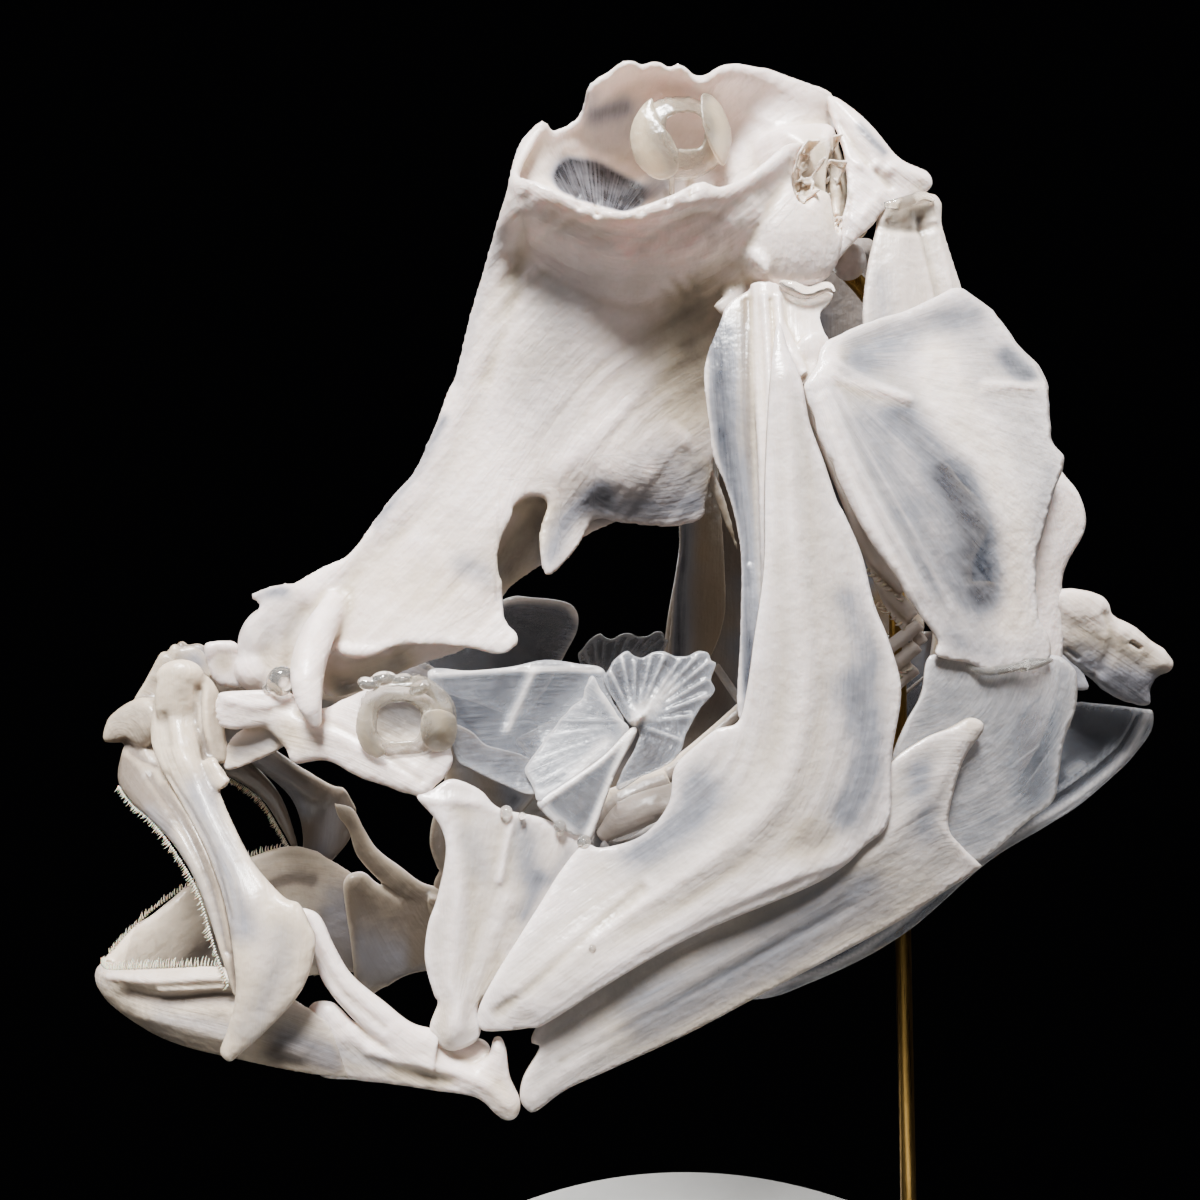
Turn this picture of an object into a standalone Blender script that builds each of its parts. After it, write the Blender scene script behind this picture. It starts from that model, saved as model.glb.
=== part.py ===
"""A flounder skull on its brass rod: every bone is one closed solid.

The fish looks to -X, its left (eyed) side faces -Y and +Z is up. The drawing of the left side
is kept as picture points (u to the right, v down) that the sight function turns into places:
each point lies on the line from the drawing's eye, at a side distance y in millimetres from
the plane that halves the fish. Bones of the right side are the left ones mirrored, and its
lower jaw is stretched deeper.
"""

import math

import bmesh
import bpy
import numpy as np
from mathutils import Matrix, Vector, geometry

MM = 0.001
GAP = 0.35

# The drawing's eye: how far from the middle plane it stands, and how it is turned
EYE_DISTANCE = 127.0
EYE_TURN = math.radians(-9.4)
EYE_TIP = math.radians(4.5)
EYE_ROLL = math.radians(2.6)
PICTURE_MIDDLE = 600.0
FOCAL_PIXELS = 924.0

# The stand: the eye's place over it sets how high the skull is held
BASE_LENGTH = 124.0
BASE_WIDTH = 76.0
BASE_THICK = 12.0
EYE_HEIGHT = 152.0
EYE_X = -30.0
ROD_RADIUS = 1.2
ROD_SIDE = 3.2
ROD_FOOT_U = 903.0
ROD_FOOT_V = 935.0
ROD_TOP_U = 853.0
ROD_TOP_V = 274.0
ROD_FACETS = 10
BASE_ROUNDING = 1.2
# The rod leans towards the braincase at its top: how far it has moved to the side and risen
ROD_BEND = ((0.0, 0.0), (0.8, 4.0), (2.6, 7.5), (4.6, 10.2), (8.4, 14.0))
BEND_BELOW_TOP = 12.0

# How finely the solids are cut: picture points between two mesh points of a shell
GRAIN = 44.0
STRAP_SIDES = 8
ARCHES = 3

# The block that takes away all beyond the middle plane
OTHER_SIDE = 300.0

# The blind side's lower jaw is deeper: below a slanting line from x to z it is stretched
# downwards, by a factor that runs from 1 in front over 3 back to 1 behind
DEEP_FROM = ((-57.0, 98.5), (-35.0, 92.5))
DEEP_X = (-75.0, -71.0, -66.0, -57.0, -43.0, -35.0, -27.0)
DEEP_FACTOR = (1.0, 1.9, 2.0, 3.0, 3.0, 2.3, 1.0)

WARM_WHITE = "E9E2D8"
CREAM = "EADFC8"
PALE_BLUE = "C9CCD2"
BRASS = "B08A45"
BLACK = "1B1B1D"


def eye_axes():
    """Forward, right and up of the eye, from its turn, tip and roll"""
    forward = Vector((
        -math.sin(EYE_TURN) * math.cos(EYE_TIP),
        math.cos(EYE_TURN) * math.cos(EYE_TIP),
        -math.sin(EYE_TIP),
    ))
    level = forward.cross(Vector((0, 0, 1))).normalized()
    upright = level.cross(forward)
    right = level * math.cos(EYE_ROLL) - upright * math.sin(EYE_ROLL)
    up = upright * math.cos(EYE_ROLL) + level * math.sin(EYE_ROLL)
    return forward, right, up


FORWARD, RIGHT, UP = eye_axes()
EYE = Vector((EYE_X, -EYE_DISTANCE, EYE_HEIGHT))


def sight(u, v, y):
    """The place, in mm, that the drawing shows at (u, v), at side distance y"""
    ray = FORWARD + RIGHT * ((u - PICTURE_MIDDLE) / FOCAL_PIXELS)
    ray = ray + UP * ((PICTURE_MIDDLE - v) / FOCAL_PIXELS)
    return EYE + ray * ((y - EYE.y) / ray.y)


def clear_scene():
    """Start from nothing"""
    for old in list(bpy.data.objects):
        bpy.data.objects.remove(old, do_unlink=True)


def linear(channel):
    """One sRGB channel, 0 to 1, as a linear value"""
    if channel <= 0.04045:
        return channel / 12.92
    return ((channel + 0.055) / 1.055) ** 2.4


def finish(name, colour, roughness, metallic=0.0):
    """A plain Principled material of the node's own colour"""
    made = bpy.data.materials.new(name)
    made.use_nodes = True
    shader = made.node_tree.nodes["Principled BSDF"]
    parts = [int(colour[i:i + 2], 16) / 255 for i in (0, 2, 4)]
    shader.inputs["Base Color"].default_value = [linear(part) for part in parts] + [1.0]
    shader.inputs["Roughness"].default_value = roughness
    shader.inputs["Metallic"].default_value = metallic
    return made


def new_object(name, mesh_data):
    """Link a mesh, given as places in mm and faces, into the scene in metres"""
    places, faces = mesh_data
    mesh = bpy.data.meshes.new(name)
    mesh.from_pydata([Vector(place) * MM for place in places], [], faces)
    work = bmesh.new()
    work.from_mesh(mesh)
    bmesh.ops.remove_doubles(work, verts=work.verts, dist=0.00001)
    bmesh.ops.triangulate(work, faces=work.faces)
    bmesh.ops.recalc_face_normals(work, faces=work.faces)
    work.to_mesh(mesh)
    work.free()
    made = bpy.data.objects.new(name, mesh)
    bpy.context.scene.collection.objects.link(made)
    return made


def dress(bone, colour=WARM_WHITE, roughness=0.45, metallic=0.0):
    """Give a node its own material"""
    bone.data.materials.clear()
    bone.data.materials.append(finish(bone.name + "_finish", colour, roughness, metallic))
    return bone


def depth_field(controls):
    """A smooth side distance over the drawing, through a few given ones (u, v, y)"""
    known = np.array(controls, dtype=float)
    spots = known[:, :2] / 100.0
    count = len(spots)

    def bend(a, b):
        reach = np.linalg.norm(a[:, None] - b[None], axis=2) + 1e-9
        return reach ** 2 * np.log(reach)

    flat = np.hstack([np.ones((count, 1)), spots])
    system = np.zeros((count + 3, count + 3))
    system[:count, :count] = bend(spots, spots) + 0.01 * np.eye(count)
    system[:count, count:] = flat
    system[count:, :count] = flat.T
    wanted = np.concatenate([known[:, 2], np.zeros(3)])
    weights = np.linalg.solve(system, wanted)

    def field(points):
        at = np.atleast_2d(np.array(points, dtype=float))[:, :2] / 100.0
        plane = np.hstack([np.ones((len(at), 1)), at])
        return bend(at, spots) @ weights[:count] + plane @ weights[count:]

    return field


def smooth_outline(points, rounds):
    """Round off a closed outline; a point given twice stays a corner"""
    line = [np.array(point[:2], dtype=float) for point in points]
    for _ in range(rounds):
        cut = []
        for a, b in zip(line, line[1:] + line[:1]):
            cut += [a * 0.75 + b * 0.25, a * 0.25 + b * 0.75]
        line = cut
    kept = []
    for point in line:
        if not kept or np.linalg.norm(point - kept[-1]) > 0.5:
            kept.append(point)
    if np.linalg.norm(kept[0] - kept[-1]) < 0.5:
        kept.pop()
    return np.array(kept)


def divided(line, step, closed):
    """The same line with no stretch much longer than step"""
    ends = list(zip(line, np.roll(line, -1, axis=0) if closed else line[1:]))
    if not closed:
        ends = ends[:len(line) - 1]
    out = []
    for a, b in ends:
        pieces = max(1, int(math.ceil(np.linalg.norm(b - a) / step)))
        out += [a + (b - a) * k / pieces for k in range(pieces)]
    if not closed:
        out.append(line[-1])
    return np.array(out)


def distance_to_line(points, line, closed):
    """Shortest distance from each point to a line of straight stretches"""
    starts = line if closed else line[:-1]
    ends = np.roll(line, -1, axis=0) if closed else line[1:]
    best = np.full(len(points), 1e9)
    for a, b in zip(starts, ends):
        along = b - a
        share = ((points - a) @ along) / max(along @ along, 1e-9)
        foot = a + np.clip(share, 0, 1)[:, None] * along
        best = np.minimum(best, np.linalg.norm(points - foot, axis=1))
    return best


def inside(points, line):
    """True for each point within a closed line"""
    hit = np.zeros(len(points), dtype=bool)
    for a, b in zip(line, np.roll(line, -1, axis=0)):
        spans = (a[1] > points[:, 1]) != (b[1] > points[:, 1])
        rise = b[1] - a[1] if b[1] != a[1] else 1e-9
        cross = a[0] + (points[:, 1] - a[1]) * (b[0] - a[0]) / rise
        hit ^= spans & (points[:, 0] < cross)
    return hit


def shell(outline, depths, body=1.0, edge=0.6, soften=30.0, ridges=(), grain=GRAIN):
    """A thin or pillow-shaped bone from its outline in the drawing.

    depths are (u, v, y) points, body and edge its thickness in mm inside and at the rim,
    soften the picture width over which the rim rounds off, and ridges are raised lines:
    (points, extra thickness in mm, half width in picture points).
    """
    rim = divided(smooth_outline(outline, 0), grain * 1.2, closed=True)
    lines = [np.array(points, dtype=float) for points, _, _ in ridges]
    marks = [divided(line, grain, closed=False) for line in lines]
    fixed = np.vstack([rim] + marks) if marks else rim
    low, high = rim.min(axis=0), rim.max(axis=0)
    rows = []
    row_step = grain * math.sqrt(3) / 2
    for j in range(int((high[1] - low[1]) / row_step) + 1):
        shift = (j % 2) * grain / 2
        for i in range(int((high[0] - low[0]) / grain) + 1):
            rows.append((low[0] + shift + i * grain, low[1] + (j + 0.5) * row_step))
    free = np.array(rows)
    free = free[inside(free, rim)]
    if len(free):
        free = free[distance_to_line(free, rim, True) > grain * 0.5]
    for mark in marks:
        if len(free):
            reach = np.linalg.norm(free[:, None] - mark[None], axis=2).min(axis=1)
            free = free[reach > grain * 0.55]
    inner = [mark[inside(mark, rim)] for mark in marks]
    inner = [mark[distance_to_line(mark, rim, True) > 3.0] for mark in inner if len(mark)]
    spots = np.vstack([rim] + [mark for mark in inner if len(mark)] + [free.reshape(-1, 2)])
    loop = [(k, (k + 1) % len(rim)) for k in range(len(rim))]
    cut = geometry.delaunay_2d_cdt([Vector(spot) for spot in spots], loop, [], 1, 0.01)
    flat = np.array([tuple(spot) for spot in cut[0]])
    triangles = [tuple(face) for face in cut[2]]
    middle = flat[[list(t) for t in triangles]].mean(axis=1)
    triangles = [t for t, keep in zip(triangles, inside(middle, rim)) if keep]
    side = depth_field(depths)(flat)
    centre = [sight(u, v, y) for (u, v), y in zip(flat, side)]
    normals = [Vector((0, 0, 0)) for _ in centre]
    for a, b, c in triangles:
        face = (centre[b] - centre[a]).cross(centre[c] - centre[a])
        if face.y > 0:
            face = -face
        for k in (a, b, c):
            normals[k] += face
    from_rim = distance_to_line(flat, rim, True)
    share = np.clip(from_rim / soften, 0, 1)
    base = edge + (body - edge) * np.sqrt(1 - (1 - share) ** 2)
    raised = np.zeros(len(flat))
    for line, (_, extra, width) in zip(lines, ridges):
        near_line = distance_to_line(flat, line, False) / width
        raised = np.maximum(raised, extra * np.exp(-near_line ** 2))
    raised *= np.minimum(1, 0.25 + share)
    near_face = []
    far_face = []
    for k, place in enumerate(centre):
        normal = normals[k].normalized()
        near_face.append(place + normal * (base[k] / 2 + raised[k] * 0.7))
        far_face.append(place - normal * (base[k] / 2 + raised[k] * 0.3))
    count = len(centre)
    faces = [(a, b, c) for a, b, c in triangles]
    faces += [(a + count, c + count, b + count) for a, b, c in triangles]
    edge_use = {}
    for t in triangles:
        for a, b in ((t[0], t[1]), (t[1], t[2]), (t[2], t[0])):
            edge_use.setdefault((min(a, b), max(a, b)), []).append((a, b))
    for uses in edge_use.values():
        if len(uses) == 1:
            a, b = uses[0]
            faces += [(b, a, a + count), (b, a + count, b + count)]
    return near_face + far_face, faces


def curve_points(points, steps):
    """A smooth line through the given points, with steps new points per stretch"""
    given = np.array(points, dtype=float)
    ghost = np.vstack([2 * given[0] - given[1], given, 2 * given[-1] - given[-2]])
    out = []
    for k in range(1, len(ghost) - 2):
        p0, p1, p2, p3 = ghost[k - 1:k + 3]
        for s in range(steps):
            t = s / steps
            out.append(0.5 * (
                2 * p1 + (p2 - p0) * t
                + (2 * p0 - 5 * p1 + 4 * p2 - p3) * t ** 2
                + (3 * p1 - p0 - 3 * p2 + p3) * t ** 3
            ))
    out.append(given[-1])
    return np.array(out)


def strap(edge_a, edge_b, thick, steps=1, sides=STRAP_SIDES):
    """A bar or blade swept between two edges, each a list of (u, v, y), with its thickness"""
    stations = np.array([list(a) + list(b) + [t] for a, b, t in zip(edge_a, edge_b, thick)])
    stations = curve_points(stations, steps)
    tops = [sight(*row[:3]) for row in stations]
    feet = [sight(*row[3:6]) for row in stations]
    middles = [(a + b) / 2 for a, b in zip(tops, feet)]
    places = []
    for k, row in enumerate(stations):
        before = middles[max(k - 1, 0)]
        after = middles[min(k + 1, len(middles) - 1)]
        ahead = (after - before).normalized()
        across = (tops[k] - feet[k]) / 2
        flat = ahead.cross(across).normalized() * (row[6] / 2)
        for s in range(sides):
            angle = 2 * math.pi * s / sides
            places.append(middles[k] + across * math.cos(angle) + flat * math.sin(angle))
    faces = [tuple(range(sides))]
    last = (len(stations) - 1) * sides
    faces.append(tuple(range(last, last + sides)))
    for k in range(len(stations) - 1):
        for s in range(sides):
            a = k * sides + s
            b = k * sides + (s + 1) % sides
            faces += [(a, b, a + sides), (b, b + sides, a + sides)]
    return places, faces


def bar(points, steps=1, sides=6):
    """A round bar through (u, v, y, radius) points"""
    stations = curve_points(points, steps)
    middles = [sight(*row[:3]) for row in stations]
    places = []
    across = Vector((0, 1, 0))
    for k, row in enumerate(stations):
        ahead = (middles[min(k + 1, len(middles) - 1)] - middles[max(k - 1, 0)]).normalized()
        other = ahead.cross(across).normalized()
        across = other.cross(ahead).normalized()
        for s in range(sides):
            angle = 2 * math.pi * s / sides
            spoke = across * math.cos(angle) + other * math.sin(angle)
            places.append(middles[k] + spoke * row[3])
    faces = [tuple(range(sides))]
    last = (len(stations) - 1) * sides
    faces.append(tuple(range(last, last + sides)))
    for k in range(len(stations) - 1):
        for s in range(sides):
            a = k * sides + s
            b = k * sides + (s + 1) % sides
            faces += [(a, b, a + sides), (b, b + sides, a + sides)]
    return places, faces


def lump(u, v, y, radii, lean=0.0, fine=2):
    """A rounded swelling: an ellipsoid with its radii in mm, leaned about the Y axis"""
    ball = bmesh.new()
    bmesh.ops.create_icosphere(ball, subdivisions=fine, radius=1.0)
    turn = Matrix.Rotation(math.radians(lean), 3, "Y")
    centre = sight(u, v, y)
    places = []
    for vert in ball.verts:
        stretched = Vector([c * r for c, r in zip(vert.co, radii)])
        places.append(centre + turn @ stretched)
    faces = [tuple(vert.index for vert in face.verts) for face in ball.faces]
    ball.free()
    return places, faces


def far_side(piece):
    """The same shape on the other side of the middle plane"""
    places, faces = piece
    return [(place[0], -place[1], place[2]) for place in places], faces


def teeth(edge_points, count, lean, length=1.3, radius=0.42):
    """Small pointed teeth along an edge of (u, v, y) points, one solid each"""
    line = curve_points(edge_points, 8)
    made = []
    for k in range(count):
        at = line[int((k + 0.5) / count * (len(line) - 1))]
        root = sight(*at)
        tall = length * (0.85 + 0.3 * math.sin(2.4 * k) ** 2)
        point = Vector(lean).normalized() * tall
        side = point.orthogonal().normalized()
        other = point.cross(side).normalized()
        sunk = root - point * 0.6
        places = [root + point]
        for s in range(4):
            angle = math.pi / 2 * s
            places.append(sunk + (side * math.cos(angle) + other * math.sin(angle)) * radius)
        faces = [(0, 1, 2), (0, 2, 3), (0, 3, 4), (0, 4, 1), (4, 3, 2, 1)]
        made.append((places, faces))
    return made


def keep_largest(bone):
    """Drop all but the largest closed surface of a mesh"""
    work = bmesh.new()
    work.from_mesh(bone.data)
    work.faces.ensure_lookup_table()
    seen = set()
    groups = []
    for face in work.faces:
        if face in seen:
            continue
        group = []
        stack = [face]
        seen.add(face)
        while stack:
            now = stack.pop()
            group.append(now)
            for edge in now.edges:
                for other in edge.link_faces:
                    if other not in seen:
                        seen.add(other)
                        stack.append(other)
        groups.append(group)
    groups.sort(key=lambda group: -sum(face.calc_area() for face in group))
    drop = [face for group in groups[1:] for face in group]
    bmesh.ops.delete(work, geom=drop, context="FACES")
    loose = [vert for vert in work.verts if not vert.link_faces]
    bmesh.ops.delete(work, geom=loose, context="VERTS")
    bmesh.ops.triangulate(work, faces=work.faces)
    work.to_mesh(bone.data)
    work.free()
    return bone


def apply_boolean(bone, operation, others):
    """Join others to a bone, or take them from it, and remove them"""
    group = bpy.data.collections.new(bone.name + "_pieces")
    bpy.context.scene.collection.children.link(group)
    for other in others:
        bpy.context.scene.collection.objects.unlink(other)
        group.objects.link(other)
        other.hide_render = True
        other.display_type = "WIRE"
    step = bone.modifiers.new("fuse", "BOOLEAN")
    step.operation = operation
    step.operand_type = "COLLECTION"
    step.collection = group
    step.solver = "EXACT"
    graph = bpy.context.evaluated_depsgraph_get()
    graph.update()
    result = bpy.data.meshes.new_from_object(bone.evaluated_get(graph))
    bone.modifiers.remove(step)
    bone.data = result
    for other in list(group.objects):
        bpy.data.objects.remove(other, do_unlink=True)
    bpy.data.collections.remove(group)
    return keep_largest(bone)


def fused(name, *pieces):
    """One node from several closed pieces that run into each other"""
    first = new_object(name, pieces[0])
    others = [new_object(name + "_piece", piece) for piece in pieces[1:]]
    if not others:
        return first
    return apply_boolean(first, "UNION", others)


def grown(bone, by):
    """A copy of a bone, thicker by a few tenths on every side, to cut with"""
    work = bmesh.new()
    work.from_mesh(bone.data)
    work.normal_update()
    for vert, step in [(vert, vert.normal * by * MM) for vert in work.verts]:
        vert.co += step
    mesh = bpy.data.meshes.new(bone.name + "_cutter")
    work.to_mesh(mesh)
    work.free()
    cutter = bpy.data.objects.new(bone.name + "_cutter", mesh)
    bpy.context.scene.collection.objects.link(cutter)
    return cutter


def cut_clear(bone, *neighbours):
    """Cut a bone back so that a thin gap stays between it and its neighbours"""
    cutters = [grown(other, GAP) for other in neighbours]
    return apply_boolean(bone, "DIFFERENCE", cutters)


def cut_at_middle(bone):
    """Keep a left bone on its own side of the plane that halves the fish"""
    block = bmesh.new()
    bmesh.ops.create_cube(block, size=2.0)
    places = [(v.co.x * OTHER_SIDE, (v.co.y + 1) * OTHER_SIDE - GAP / 2,
               (v.co.z + 0.5) * OTHER_SIDE) for v in block.verts]
    faces = [tuple(v.index for v in face.verts) for face in block.faces]
    block.free()
    return apply_boolean(bone, "DIFFERENCE", [new_object("other_side", (places, faces))])


def mirrored(bone, name):
    """The same bone of the right side"""
    work = bmesh.new()
    work.from_mesh(bone.data)
    for vert in work.verts:
        vert.co.y = -vert.co.y
    bmesh.ops.reverse_faces(work, faces=work.faces)
    mesh = bpy.data.meshes.new(name)
    work.to_mesh(mesh)
    work.free()
    made = bpy.data.objects.new(name, mesh)
    bpy.context.scene.collection.objects.link(made)
    return made


def deepened(bone):
    """Stretch a bone of the blind side's lower jaw downwards"""
    (x1, z1), (x2, z2) = DEEP_FROM
    for vert in bone.data.vertices:
        x = vert.co.x / MM
        line = z1 + (x - x1) * (z2 - z1) / (x2 - x1)
        below = max(0.0, line - vert.co.z / MM)
        vert.co.z -= below * (np.interp(x, DEEP_X, DEEP_FACTOR) - 1) * MM
    return bone


# The braincase and the great sheet in front of it
SHEET_OUTLINE = [
    (546, 121), (518, 173), (541, 184), (575, 199), (624, 211), (676, 193), (699, 182),
    (719, 187), (743, 178), (765, 162), (788, 144), (812, 150), (812, 215), (790, 262),
    (758, 285), (735, 340), (722, 400), (716, 450), (706, 500), (700, 520), (665, 527),
    (620, 523), (594, 520), (577, 548), (547, 577), (539, 537), (547, 503), (530, 497),
    (512, 518), (501, 541), (498, 567), (504, 600), (506, 620), (519, 636), (516, 646),
    (498, 655), (468, 648), (409, 645), (384, 650), (363, 659), (345, 657), (336, 647),
    (322, 664), (300, 672), (280, 688), (262, 690), (243, 684), (242, 659), (237, 646),
    (245, 630), (260, 605), (251, 598), (254, 592), (284, 583), (330, 564), (350, 554),
    (376, 520), (395, 494), (416, 470), (438, 420), (455, 379), (471, 316), (480, 285),
    (498, 224), (511, 187), (514, 165), (526, 138),
]
SHEET_DEPTHS = [
    (546, 121, -3), (514, 165, -3.5), (480, 285, -3.5), (449, 390, -3.5), (395, 494, -3.5),
    (330, 564, -3), (254, 592, -2.5), (240, 650, -2.5), (262, 688, -3.5), (322, 664, -6),
    (409, 645, -8), (516, 646, -9.5), (504, 600, -8), (512, 518, -7.5), (547, 577, -8.5),
    (620, 479, -6), (594, 520, -3.5), (665, 527, -1.5), (706, 500, -1.5), (722, 400, -2.5),
    (735, 340, -4), (560, 420, -6), (640, 400, -5.5), (520, 330, -6), (518, 173, -10),
    (575, 199, -14), (624, 211, -15.5), (676, 193, -15), (719, 187, -14), (765, 162, -12.5),
    (788, 144, -11), (812, 200, -9), (600, 285, -8.5), (690, 280, -8), (758, 285, -8.5),
    (540, 250, -8),
]
CUP_OUTLINE = [
    (512, 190), (514, 165), (526, 138), (546, 121), (553, 130), (575, 120), (587, 90),
    (612, 71), (642, 64), (676, 68), (703, 79), (725, 66), (743, 64), (774, 71), (804, 83),
    (832, 97), (836, 130), (815, 180), (780, 225), (740, 245), (690, 258), (640, 262),
    (590, 250), (545, 225),
]
CUP_RIM_DEPTHS = [
    (512, 190, -4.5), (514, 165, -3.5), (546, 121, -3), (587, 90, -3.5), (642, 64, -4.5),
    (703, 79, -4.5), (743, 64, -4.5), (804, 83, -4), (832, 97, -4), (836, 130, -3),
    (600, 150, 3.5), (650, 150, 4.5), (700, 150, 3), (750, 130, -1), (790, 150, -5),
    (620, 200, 3), (690, 200, 1), (620, 100, 0.5), (680, 100, 0.5),
]
CUP_FOOT = [(545, 225), (590, 250), (640, 262), (690, 258), (740, 245), (780, 225)]
BAR_OUTLINE = [
    (322, 690), (350, 694), (410, 668), (480, 640), (505, 592), (545, 562), (600, 528),
    (670, 500), (690, 440), (640, 420), (560, 450), (480, 530), (400, 600), (330, 640),
]
BAR_DEPTHS = [
    (322, 690, -2), (410, 668, 0), (505, 592, 1), (600, 528, 0), (670, 500, -1.5),
    (690, 440, -4), (640, 420, -5.2), (560, 450, -6), (480, 530, -6.2), (400, 600, -6),
    (330, 640, -4.5),
]
CASE_OUTLINE = [
    (745, 98), (790, 90), (828, 100), (840, 150), (848, 205), (846, 248), (832, 280),
    (792, 290), (748, 300), (716, 300), (694, 272), (704, 238), (735, 212), (748, 160),
]
CASE_DEPTHS = [(745, 98, 0.5), (832, 100, 0.5), (840, 280, 0.5), (716, 300, 0), (694, 272, -1)]
HORN_LINE = [(330, 622, -5), (312, 642, -8.5), (308, 672, -9.5), (309, 700, -9.5), (316, 727, -9.5)]
HORN_RADII = [1.6, 1.9, 1.9, 1.6, 0.6]


def neurocranium():
    """Great sheet, cup of the upper eye, braincase and snout, grown into one bone"""
    sheet_depth = depth_field(SHEET_DEPTHS)
    sheet = shell(SHEET_OUTLINE, SHEET_DEPTHS, body=1.3, edge=0.8, ridges=[
        ([(522, 150), (498, 240), (470, 340), (440, 430), (385, 520), (300, 590)], 1.4, 16),
        ([(525, 178), (575, 203), (624, 215), (676, 198), (719, 192), (765, 168)], 1.0, 14),
    ])
    foot = [(u, v, float(sheet_depth([(u, v)])[0])) for u, v in CUP_FOOT]
    cup = shell(CUP_OUTLINE, CUP_RIM_DEPTHS + foot, body=1.0, edge=0.8, ridges=[
        ([(720, 72), (760, 80), (810, 100)], 1.5, 25),
    ])
    keel = shell(BAR_OUTLINE, BAR_DEPTHS, body=1.6, edge=0.8)
    braincase = shell(CASE_OUTLINE, CASE_DEPTHS, body=21.0, edge=7.0, soften=60, ridges=[
        ([(760, 100), (800, 108), (836, 118)], 2.0, 20),
    ])
    horn = bar([(u, v, y, r) for (u, v, y), r in zip(HORN_LINE, HORN_RADII)])
    ear = lump(798, 246, -9.0, (4.9, 4.2, 6.6))
    pieces = [
        sheet,
        cup,
        keel,
        horn,
        braincase,
        ear,
        far_side(ear),
        lump(848, 258, 1.0, (2.4, 3.2, 2.8)),
        lump(262, 652, -0.5, (3.6, 4.0, 5.0)),
        lump(255, 706, -2.0, (3.6, 3.6, 3.4)),
        bar([(748, 246, -9, 1.6), (760, 262, -11, 1.2), (764, 274, -12, 0.4)]),
        bar([(745, 280, -7, 1.8), (726, 300, -8.5, 1.3), (712, 314, -9, 0.6)]),
    ]
    skull = fused("neurocranium", *pieces)
    hollow = new_object("spongy_hollow", lump(820, 186, -11.5, (2.4, 4.5, 6.0), lean=8))
    back_hole = new_object("spinal_hole", lump(856, 226, 1.5, (4.5, 2.2, 2.0)))
    return apply_boolean(skull, "DIFFERENCE", [hollow, back_hole])


def ring(name, u, v, y, wide, tall, hole_u, hole_v, hole_wide, hole_tall, post=None):
    """A bony ring of an eye, cupped a little, with its radii in picture points"""
    around = 18
    places = []
    for k in range(around):
        angle = 2 * math.pi * k / around
        c, s = math.cos(angle), math.sin(angle)
        outer = (u + wide * c, v + tall * s)
        inner = (hole_u + hole_wide * c, hole_v + hole_tall * s)
        bulge = ((outer[0] + inner[0]) / 2, (outer[1] + inner[1]) / 2)
        places += [
            sight(*outer, y + 1.4),
            sight(*bulge, y - 0.9),
            sight(*inner, y - 1.3),
            sight(*inner, y - 0.5),
            sight(*bulge, y + 0.6),
        ]
    faces = []
    for k in range(around):
        n = (k + 1) % around
        for j in range(5):
            i = (j + 1) % 5
            faces.append((k * 5 + j, n * 5 + j, n * 5 + i, k * 5 + i))
    pieces = [(places, faces)]
    if post:
        pieces.append(bar(post, sides=5))
    return fused(name, *pieces)


def premaxilla():
    """Toothed bar of the upper jaw, with its beak and the process that rises behind it"""
    outer = [
        (112, 738, -0.8), (118, 762, -3), (120, 784, -6), (133, 803, -9.5), (151, 819, -12.5),
        (176, 848, -15.5), (200, 891, -18.5), (219, 949, -21), (234, 997, -22.5),
    ]
    inner = [
        (138, 722, -0.8), (150, 742, -3), (162, 762, -6), (174, 784, -9.5), (188, 806, -12.5),
        (203, 836, -15.5), (223, 885, -18.5), (234, 948, -21), (238, 996, -22.5),
    ]
    body = strap(outer, inner, [3.2, 3.6, 3.4, 3.0, 2.8, 2.6, 2.2, 1.8, 0.8])
    beak = bar([
        (110, 729, -1.6, 0.9), (122, 728, -2.4, 1.6), (138, 720, -3.2, 2.0), (150, 716, -4, 1.6),
    ])
    process = strap(
        [(138, 716, -2.2), (150, 690, -1.8), (165, 660, -1.5), (184, 645, -1.4)],
        [(158, 722, -2.2), (170, 700, -1.8), (188, 672, -1.5), (198, 652, -1.4)],
        [2.2, 1.6, 1.2, 0.8],
    )
    edge = [(119, 790, -6), (133, 807, -9.5), (151, 823, -12.5), (174, 852, -15.5),
            (197, 893, -18.5), (215, 949, -21)]
    row = teeth(edge, 16, (-0.35, 0.15, -1.0))
    return fused("premaxilla_left", body, beak, process, *row)


def maxilla():
    """Long bone behind the toothed bar, with its knobbed head and its broad end"""
    outline = [
        (159, 678), (168, 664), (184, 661), (198, 668), (200, 684), (204, 720), (208, 754),
        (219, 765), (228, 779), (220, 792), (236, 830), (256, 866), (284, 897), (299, 903),
        (309, 922), (316, 943), (303, 988), (271, 1026), (240, 1054), (230, 1061), (221, 1050),
        (227, 1032), (236, 998), (235, 960), (226, 905), (210, 858), (194, 826), (174, 790),
        (160, 765), (152, 740), (154, 708),
    ]
    depths = [
        (178, 670, -6.5), (155, 720, -6.5), (205, 740, -8.5), (226, 779, -11.5),
        (175, 790, -12.6), (215, 800, -13.8), (210, 858, -18.2), (250, 860, -19.6),
        (236, 960, -24.0), (300, 910, -23.5), (316, 943, -24), (230, 1058, -24.5),
        (190, 745, -9.5),
    ]
    return new_object("maxilla_left", shell(outline, depths, 2.4, 1.0, 22, grain=30, ridges=[
        ([(178, 675), (178, 720), (190, 770), (212, 815), (234, 862), (252, 900)], 1.2, 14),
        ([(252, 900), (256, 960), (243, 1020), (232, 1052)], 0.8, 16),
    ]))


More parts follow.
